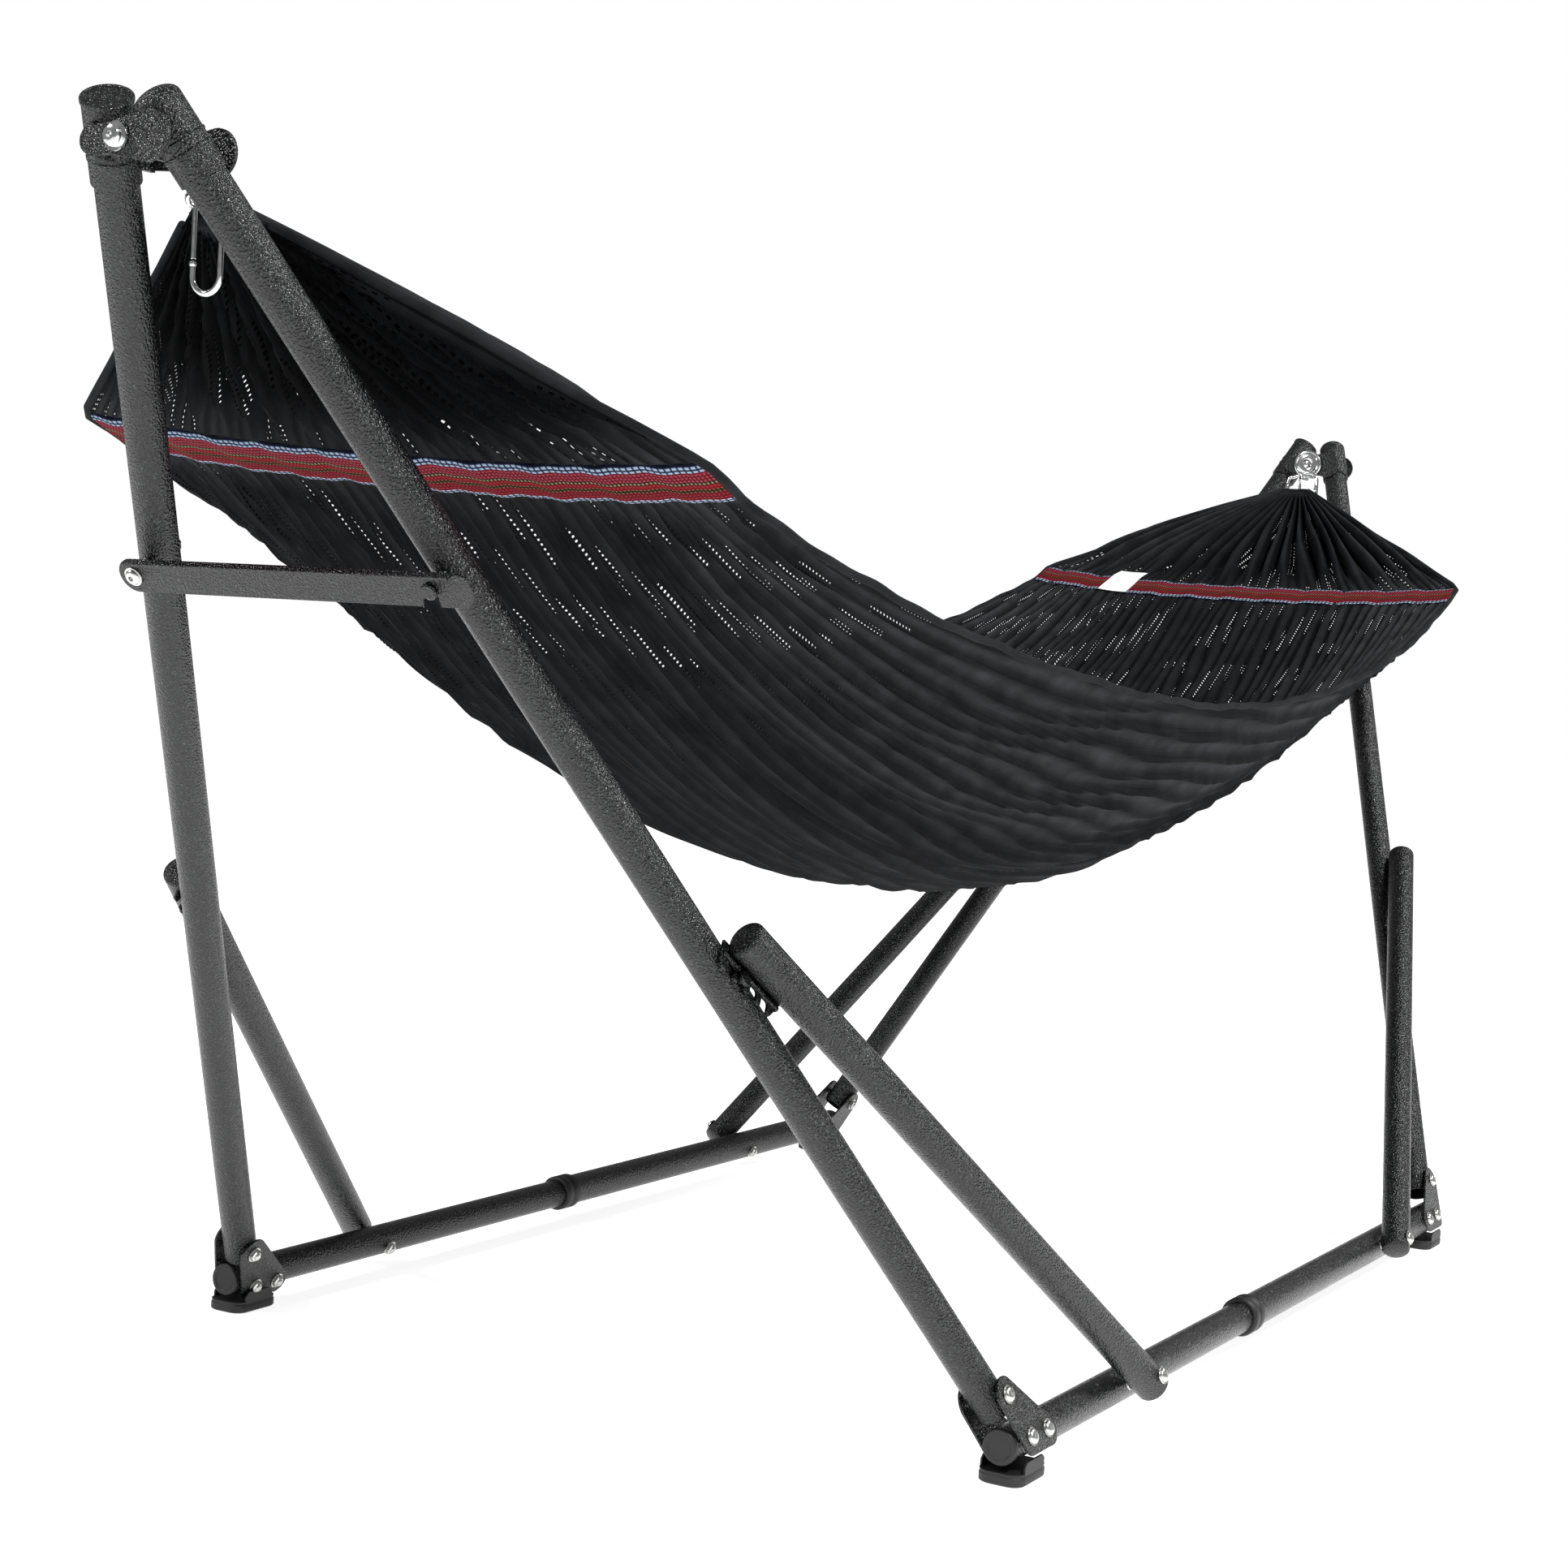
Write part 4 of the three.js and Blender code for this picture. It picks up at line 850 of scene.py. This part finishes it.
# Sewn band: a flat closed strip round the cloth, its section a long thin oval swept from edge to edge.
def makeBand(end):
    count, turns = 150, 24
    inner, outer = cloth["bandIn"], cloth["bandOut"]
    v = np.linspace(-1.008, 1.008, count)
    angle = np.linspace(0, 2 * np.pi, turns, endpoint=False)
    flat = np.sign(np.cos(angle)) * np.abs(np.cos(angle)) ** 0.5
    lift = np.sign(np.sin(angle)) * np.abs(np.sin(angle)) ** 0.6 * 3.4
    shrink = np.clip((1.008 - np.abs(v)) / 0.006, 0.0, 1) ** 0.5
    gv, ga = np.meshgrid(v, flat, indexing="ij")
    middle = (inner + outer) / 2
    width = (outer - inner) / 2 + 1.5 * np.sin(v * 23) * 0.4
    x = end * (middle + width[:, None] * ga * (0.9 + 0.1 * shrink[:, None]))
    points = clothPoint(x, gv)
    ripple = 0.9 * np.sin(gv * 31 + 1.3) + 0.6 * np.sin(gv * 67)
    points[..., 2] += lift[None, :] * (0.05 + 0.95 * shrink[:, None]) + ripple
    faces = gridFaces(count, turns, True).tolist()
    faces += [list(range(turns)), list(range((count - 1) * turns, count * turns))]
    made = makeObject(f"hammock_band_{endName[end]}", [(points.reshape(-1, 3), faces)], bandMaterial, 60,
                      merge=False)
    work = bmesh.new()
    work.from_mesh(made.data)
    bmesh.ops.recalc_face_normals(work, faces=work.faces)
    work.to_mesh(made.data)
    work.free()
    made.data.shade_smooth()
    place = np.stack([(gv + 1.008) * cloth["bandHalf"] * mm, (ga + 1) / 2], -1)
    setUv(made, place.reshape(-1, 2))
    return made


# Blank satin tag folded over the far band's outer edge.
def makeLabel():
    tag = {"from": 0.52, "to": 0.66, "past": 12, "lift": 4.6, "thick": 0.8}
    outer = cloth["bandOut"]
    u = np.linspace(0, 1, 24)
    v = np.linspace(tag["from"], tag["to"], 16)
    gu, gv = np.meshgrid(u, v, indexing="ij")
    x = cloth["bandIn"] - 2 + gu * (outer - cloth["bandIn"] + tag["past"])
    top = clothPoint(x, gv, tag["lift"])
    top[..., 2] += 0.6 * np.sin(gu * 5 + gv * 30)
    under = top - np.array([-0.25, 0, 0.9]) * tag["thick"]
    points = np.concatenate([top.reshape(-1, 3), under.reshape(-1, 3)])
    n, rows, columns = top.shape[0] * top.shape[1], len(u), len(v)
    grid = gridFaces(rows, columns)
    rim = np.concatenate([np.arange(columns), columns * np.arange(1, rows) + columns - 1,
                          (rows - 1) * columns + np.arange(columns - 2, -1, -1),
                          columns * np.arange(rows - 2, 0, -1)])
    beside = np.roll(rim, -1)
    wall = np.stack([rim, beside, beside + n, rim + n], -1)
    faces = np.concatenate([grid, grid + n, wall])
    return makeObject("hammock_label", [(points, faces)], labelMaterial, 50)


# Knit strip that binds the gathered cloth where the claw's wires pass through it.
def makeGather(end):
    count, turns = 26, 32
    strip = {"long": 24, "past": 2, "half": 30, "thick": 9, "droop": 12.8, "fold": 0.8}
    name = endName[end]
    height = cloth["endHeight"][name] - 2
    x = np.linspace(cloth["endX"] - strip["long"], cloth["endX"] + strip["past"], count)
    angle = np.linspace(0, 2 * np.pi, turns, endpoint=False)
    close = np.clip(np.minimum(x - x[0], x[-1] - x) / 3.0, 0, 1) ** 0.5
    across = np.sign(np.cos(angle)) * np.abs(np.cos(angle)) ** 0.45 * strip["half"]
    upright = np.sign(np.sin(angle)) * np.abs(np.sin(angle)) ** 0.7 * strip["thick"]
    fold = strip["fold"] * np.sin(angle * 11)
    y = (0.3 + 0.7 * close)[:, None] * (across + fold * 0.4)[None, :]
    droop = strip["droop"] * (1 - (x - x[0]) / (x[-1] - x[0]))
    z = height - droop[:, None] + close[:, None] * (upright + fold)[None, :]
    points = np.stack([np.broadcast_to(end * x[:, None], y.shape), y, z], -1)
    faces = gridFaces(count, turns, True).tolist()
    faces += [list(range(turns)), list(range((count - 1) * turns, count * turns))]
    return makeObject(f"hammock_gather_{name}", [(points.reshape(-1, 3), faces)], hemMaterial, 60)


# Turns a coordinate into evenly repeated stripes: 1 inside a share of each period, else 0.
def stripes(tree, value, period, share, shift=0.0):
    turns = addNode(tree, "ShaderNodeMath", {0: value, 1: 1 / period, 2: shift}, operation="MULTIPLY_ADD")
    part = addNode(tree, "ShaderNodeMath", {0: turns.outputs[0]}, operation="FRACT")
    centred = addNode(tree, "ShaderNodeMath", {0: part.outputs[0], 1: 0.5}, operation="SUBTRACT")
    away = addNode(tree, "ShaderNodeMath", {0: centred.outputs[0]}, operation="ABSOLUTE")
    scaled = addNode(tree, "ShaderNodeMapRange", {0: away.outputs[0], 1: share * 0.35, 2: share * 0.65,
                                                  3: 1.0, 4: 0.0})
    return scaled.outputs[0]


def combine(tree, operation, a, b):
    return addNode(tree, "ShaderNodeMath", {0: a, 1: b}, operation=operation).outputs[0]


def mixColor(tree, factor, a, b):
    made = addNode(tree, "ShaderNodeMix", {0: factor}, data_type="RGBA")
    for index, value in ((6, a), (7, b)):
        if isinstance(value, str):
            made.inputs[index].default_value = hexColor(value)
        else:
            tree.links.new(value, made.inputs[index])
    return made.outputs[2]


def flatPlace(tree):
    place = addNode(tree, "ShaderNodeUVMap", uv_map="flat")
    split = addNode(tree, "ShaderNodeSeparateXYZ", {0: place.outputs[0]})
    return split.outputs[0], split.outputs[1]


# Warp-knit polyester net, black with pale grey knit loops, and on the cloth a painted highlight that makes
# the loops paler on the
# fold crests and towards the rims: 2.6 mm wales that lean left and right in turn like a herringbone, and
# pairs of 1 mm x 3 mm eyelets that open where it's pulled.
def knitCloth(name, dark, pale, pinholes):
    knit = {"wale": 3.4, "course": 3.0, "eyeAcross": 4.6, "eyeAlong": 7.0, "strip": 16.0}
    material, tree, shader = newMaterial(name, Roughness=0.85, Specular_IOR_Level=0.08)
    across, along = flatPlace(tree)
    wale = stripes(tree, across, knit["wale"] * mm, 1.0)
    side = stripes(tree, across, 2 * knit["wale"] * mm, 0.98)
    lean = combine(tree, "MULTIPLY", across, 1.6)
    ahead = combine(tree, "ADD", along, lean)
    behind = combine(tree, "SUBTRACT", along, lean)
    left = stripes(tree, ahead, knit["course"] * mm, 1.0)
    right = stripes(tree, behind, knit["course"] * mm, 1.0)
    loops = addNode(tree, "ShaderNodeMix", {0: side, 2: left, 3: right}).outputs[0]
    height = combine(tree, "MULTIPLY", loops, wale)
    cloudy = addNode(tree, "ShaderNodeTexNoise", {"Vector": objectPlace(tree, (1, 1, 1)), "Scale": 24.0,
                                                  "Detail": 4.0})
    if pinholes:
        # On the cloth the pale knit share follows the painted crest highlight; on the hem it is a fixed
        # share.
        paintedCrestHighlight = addNode(tree, "ShaderNodeAttribute", attribute_name="paintedCrestHighlight").outputs["Fac"]
        paleKnitAndHighlight = addNode(tree, "ShaderNodeMath", {0: paintedCrestHighlight, 1: 0.55, 2: 0.05},
                        operation="MULTIPLY_ADD").outputs[0]
    else:
        paleKnitAndHighlight = addNode(tree, "ShaderNodeValue").outputs[0]
        paleKnitAndHighlight.default_value = 0.7
    patch = combine(tree, "MULTIPLY", cloudy.outputs[0], 1.5)
    factor = combine(tree, "MULTIPLY", combine(tree, "MULTIPLY", loops, paleKnitAndHighlight), patch)
    tree.links.new(mixColor(tree, factor, dark, pale), shader.inputs["Base Color"])
    bump(tree, shader, height, 0.0006, 0.8)
    if pinholes:
        addPinholes(tree, shader, across, along, knit)
    return material


# Eyelets go in strips: pairs of columns, staggered along the cloth, opened by the stretch map.
def addPinholes(tree, shader, across, along, knit):
    column = stripes(tree, across, knit["eyeAcross"] * mm, 0.36)
    rowA = stripes(tree, along, knit["eyeAlong"] * mm, 0.5)
    strip = stripes(tree, across, knit["strip"] * mm, 1.05)
    hole = combine(tree, "MULTIPLY", column, rowA)
    stretch = addNode(tree, "ShaderNodeAttribute", attribute_name="stretch").outputs["Fac"]
    opened = addNode(tree, "ShaderNodeMapRange", {0: stretch, 1: 0.3, 2: 0.5, 3: 0.0, 4: 1.0}).outputs[0]
    hole = combine(tree, "MULTIPLY", hole, combine(tree, "MULTIPLY", opened, strip))
    alpha = addNode(tree, "ShaderNodeMapRange", {0: hole, 1: 0.35, 2: 0.5, 3: 1.0, 4: 0.0}).outputs[0]
    tree.links.new(alpha, shader.inputs["Alpha"])


# Woven jacquard band: cotton rows of crimson, red and navy with chain stitches in pale blue and
# white along both edges and dotted rows of olive and pink between, stitches about 5 mm long.
def jacquardBand():
    stitch = {"chain": 6.5, "dot": 4.2, "rib": 1.4, "rows": 13.0}
    material, tree, shader = newMaterial("jacquard cotton band", Roughness=0.9, Specular_IOR_Level=0.1)
    along, across = flatPlace(tree)
    base = ramp(tree, across, [(0.0, "#070a18"), (0.03, "#131f3c"), (0.12, "#54070f"), (0.34, "#1f0d0a"),
                               (0.42, "#640910"), (0.54, "#1c0d0a"), (0.62, "#5a0711"), (0.86, "#0a1024")],
                               True)
    dots = ramp(tree, across, [(0.0, "#10182e"), (0.03, "#a3b2c4"), (0.12, "#84202e"), (0.34, "#5c5a2e"),
                               (0.42, "#8c202b"), (0.54, "#857d5a"), (0.62, "#923c4b"), (0.86, "#8fa2bb")],
                               True)
    chain = stripes(tree, along, stitch["chain"] * mm, 0.7)
    small = stripes(tree, along, stitch["dot"] * mm, 0.5)
    edge = addNode(tree, "ShaderNodeMath", {0: across, 1: 0.5}, operation="SUBTRACT")
    outside = addNode(tree, "ShaderNodeMath", {0: edge.outputs[0]}, operation="ABSOLUTE").outputs[0]
    isEdge = addNode(tree, "ShaderNodeMapRange", {0: outside, 1: 0.31, 2: 0.33, 3: 0.0, 4: 1.0}).outputs[0]
    run = addNode(tree, "ShaderNodeMix", {0: isEdge, 2: small, 3: chain}).outputs[0]
    rows = stripes(tree, across, 1 / stitch["rows"], 0.6)
    mask = combine(tree, "MULTIPLY", run, rows)
    tree.links.new(mixColor(tree, mask, base, dots), shader.inputs["Base Color"])
    rib = stripes(tree, along, stitch["rib"] * mm, 1.0)
    height = combine(tree, "ADD", mask, combine(tree, "MULTIPLY", rib, 0.3))
    bump(tree, shader, height, 0.0012, 0.9)
    return material


clothMaterial = knitCloth("warp-knit polyester net", "#010102", "#45484c", True)
hemMaterial = knitCloth("folded knit hem", "#030304", "#3a3c40", False)
bandMaterial = jacquardBand()
# White satin ribbon, softly shiny, with a fine weave.
labelMaterial = grainyFinish("white satin tag", 1.0, 2.0, [(0.3, "#e9e9e6"), (0.7, "#fbfbf9")], 0.0002, 0.4,
                             place=(300, 2500, 300), Roughness=0.38, Sheen_Weight=0.3)

sheet = makeCloth()
hems = [makeHem(side) for side in sides]
bands = [makeBand(end) for end in ends]
label = makeLabel()
gathers = [makeGather(end) for end in ends]
for piece in [sheet, *hems, *bands, label, *gathers]:
    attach(piece, "hammock_body")
    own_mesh(piece)
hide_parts("hammock")
print("cloth made")


# Size of the floor in metres, its own glow, the room's light on the object and behind it, and the
# softboxes: place, width and watts.
studio = {
    "floor": 60, "glow": 0.84, "fill": 0.24, "behind": 1.0, "aim": (0, 0, 0.6),
    "softboxes": [((-1.8, -3.2, 4.4), 0.9, 220.0), ((2.8, -2.6, 3.6), 0.9, 110.0),
                  ((-3.2, 2.6, 3.6), 1.0, 110.0)],
}


def makeStage():
    bpy.ops.mesh.primitive_plane_add(size=studio["floor"], location=(0, 0, 0))
    floor = bpy.context.object
    floor.name = "floor"
    pale = newMaterial("pale floor", Roughness=0.9, Specular_IOR_Level=0.0, Base_Color=hexColor("#f4f4f4"),
                       Emission_Color=hexColor("#ffffff"), Emission_Strength=studio["glow"])[0]
    floor.data.materials.append(pale)
    world = bpy.data.worlds.new("studio")
    world.use_nodes = True
    backdrop = world.node_tree.nodes["Background"]
    backdrop.inputs[0].default_value = (1, 1, 1, 1)
    ray = addNode(world.node_tree, "ShaderNodeLightPath")
    level = addNode(world.node_tree, "ShaderNodeMapRange",
                    {0: ray.outputs["Is Camera Ray"], 3: studio["fill"], 4: studio["behind"]})
    world.node_tree.links.new(level.outputs[0], backdrop.inputs[1])
    bpy.context.scene.world = world
    bpy.context.scene.view_settings.view_transform = "Standard"
    for index, (place, size, power) in enumerate(studio["softboxes"]):
        data = bpy.data.lights.new(f"softbox{index}", "AREA")
        data.shape = "DISK"
        data.size = size
        data.energy = power
        lamp = bpy.data.objects.new(data.name, data)
        lamp.location = place
        lamp.rotation_euler = (Vector(studio["aim"]) - Vector(place)).to_track_quat("-Z", "Y").to_euler()
        bpy.context.scene.collection.objects.link(lamp)


view = {"place": (-3.1210, -1.5639, 0.8084), "yaw": 29.55, "pitch": -2.838, "roll": 3.285, "lens": 61.29}


def makeCamera():
    yaw, pitch, roll = (math.radians(view[name]) for name in ("yaw", "pitch", "roll"))
    forward = Vector((math.cos(yaw) * math.cos(pitch), math.sin(yaw) * math.cos(pitch), math.sin(pitch)))
    level = Vector((math.sin(yaw), -math.cos(yaw), 0))
    above = level.cross(forward)
    right = level * math.cos(roll) + above * math.sin(roll)
    up = above * math.cos(roll) - level * math.sin(roll)
    data = bpy.data.cameras.new("camera")
    data.lens = view["lens"]
    data.sensor_width = 36.0
    data.clip_end = 100.0
    camera = bpy.data.objects.new("camera", data)
    turn = Matrix((right, up, -forward)).transposed().to_4x4()
    camera.matrix_world = Matrix.Translation(Vector(view["place"])) @ turn
    bpy.context.scene.collection.objects.link(camera)
    bpy.context.scene.camera = camera


makeStage()
makeCamera()
print("stage made")
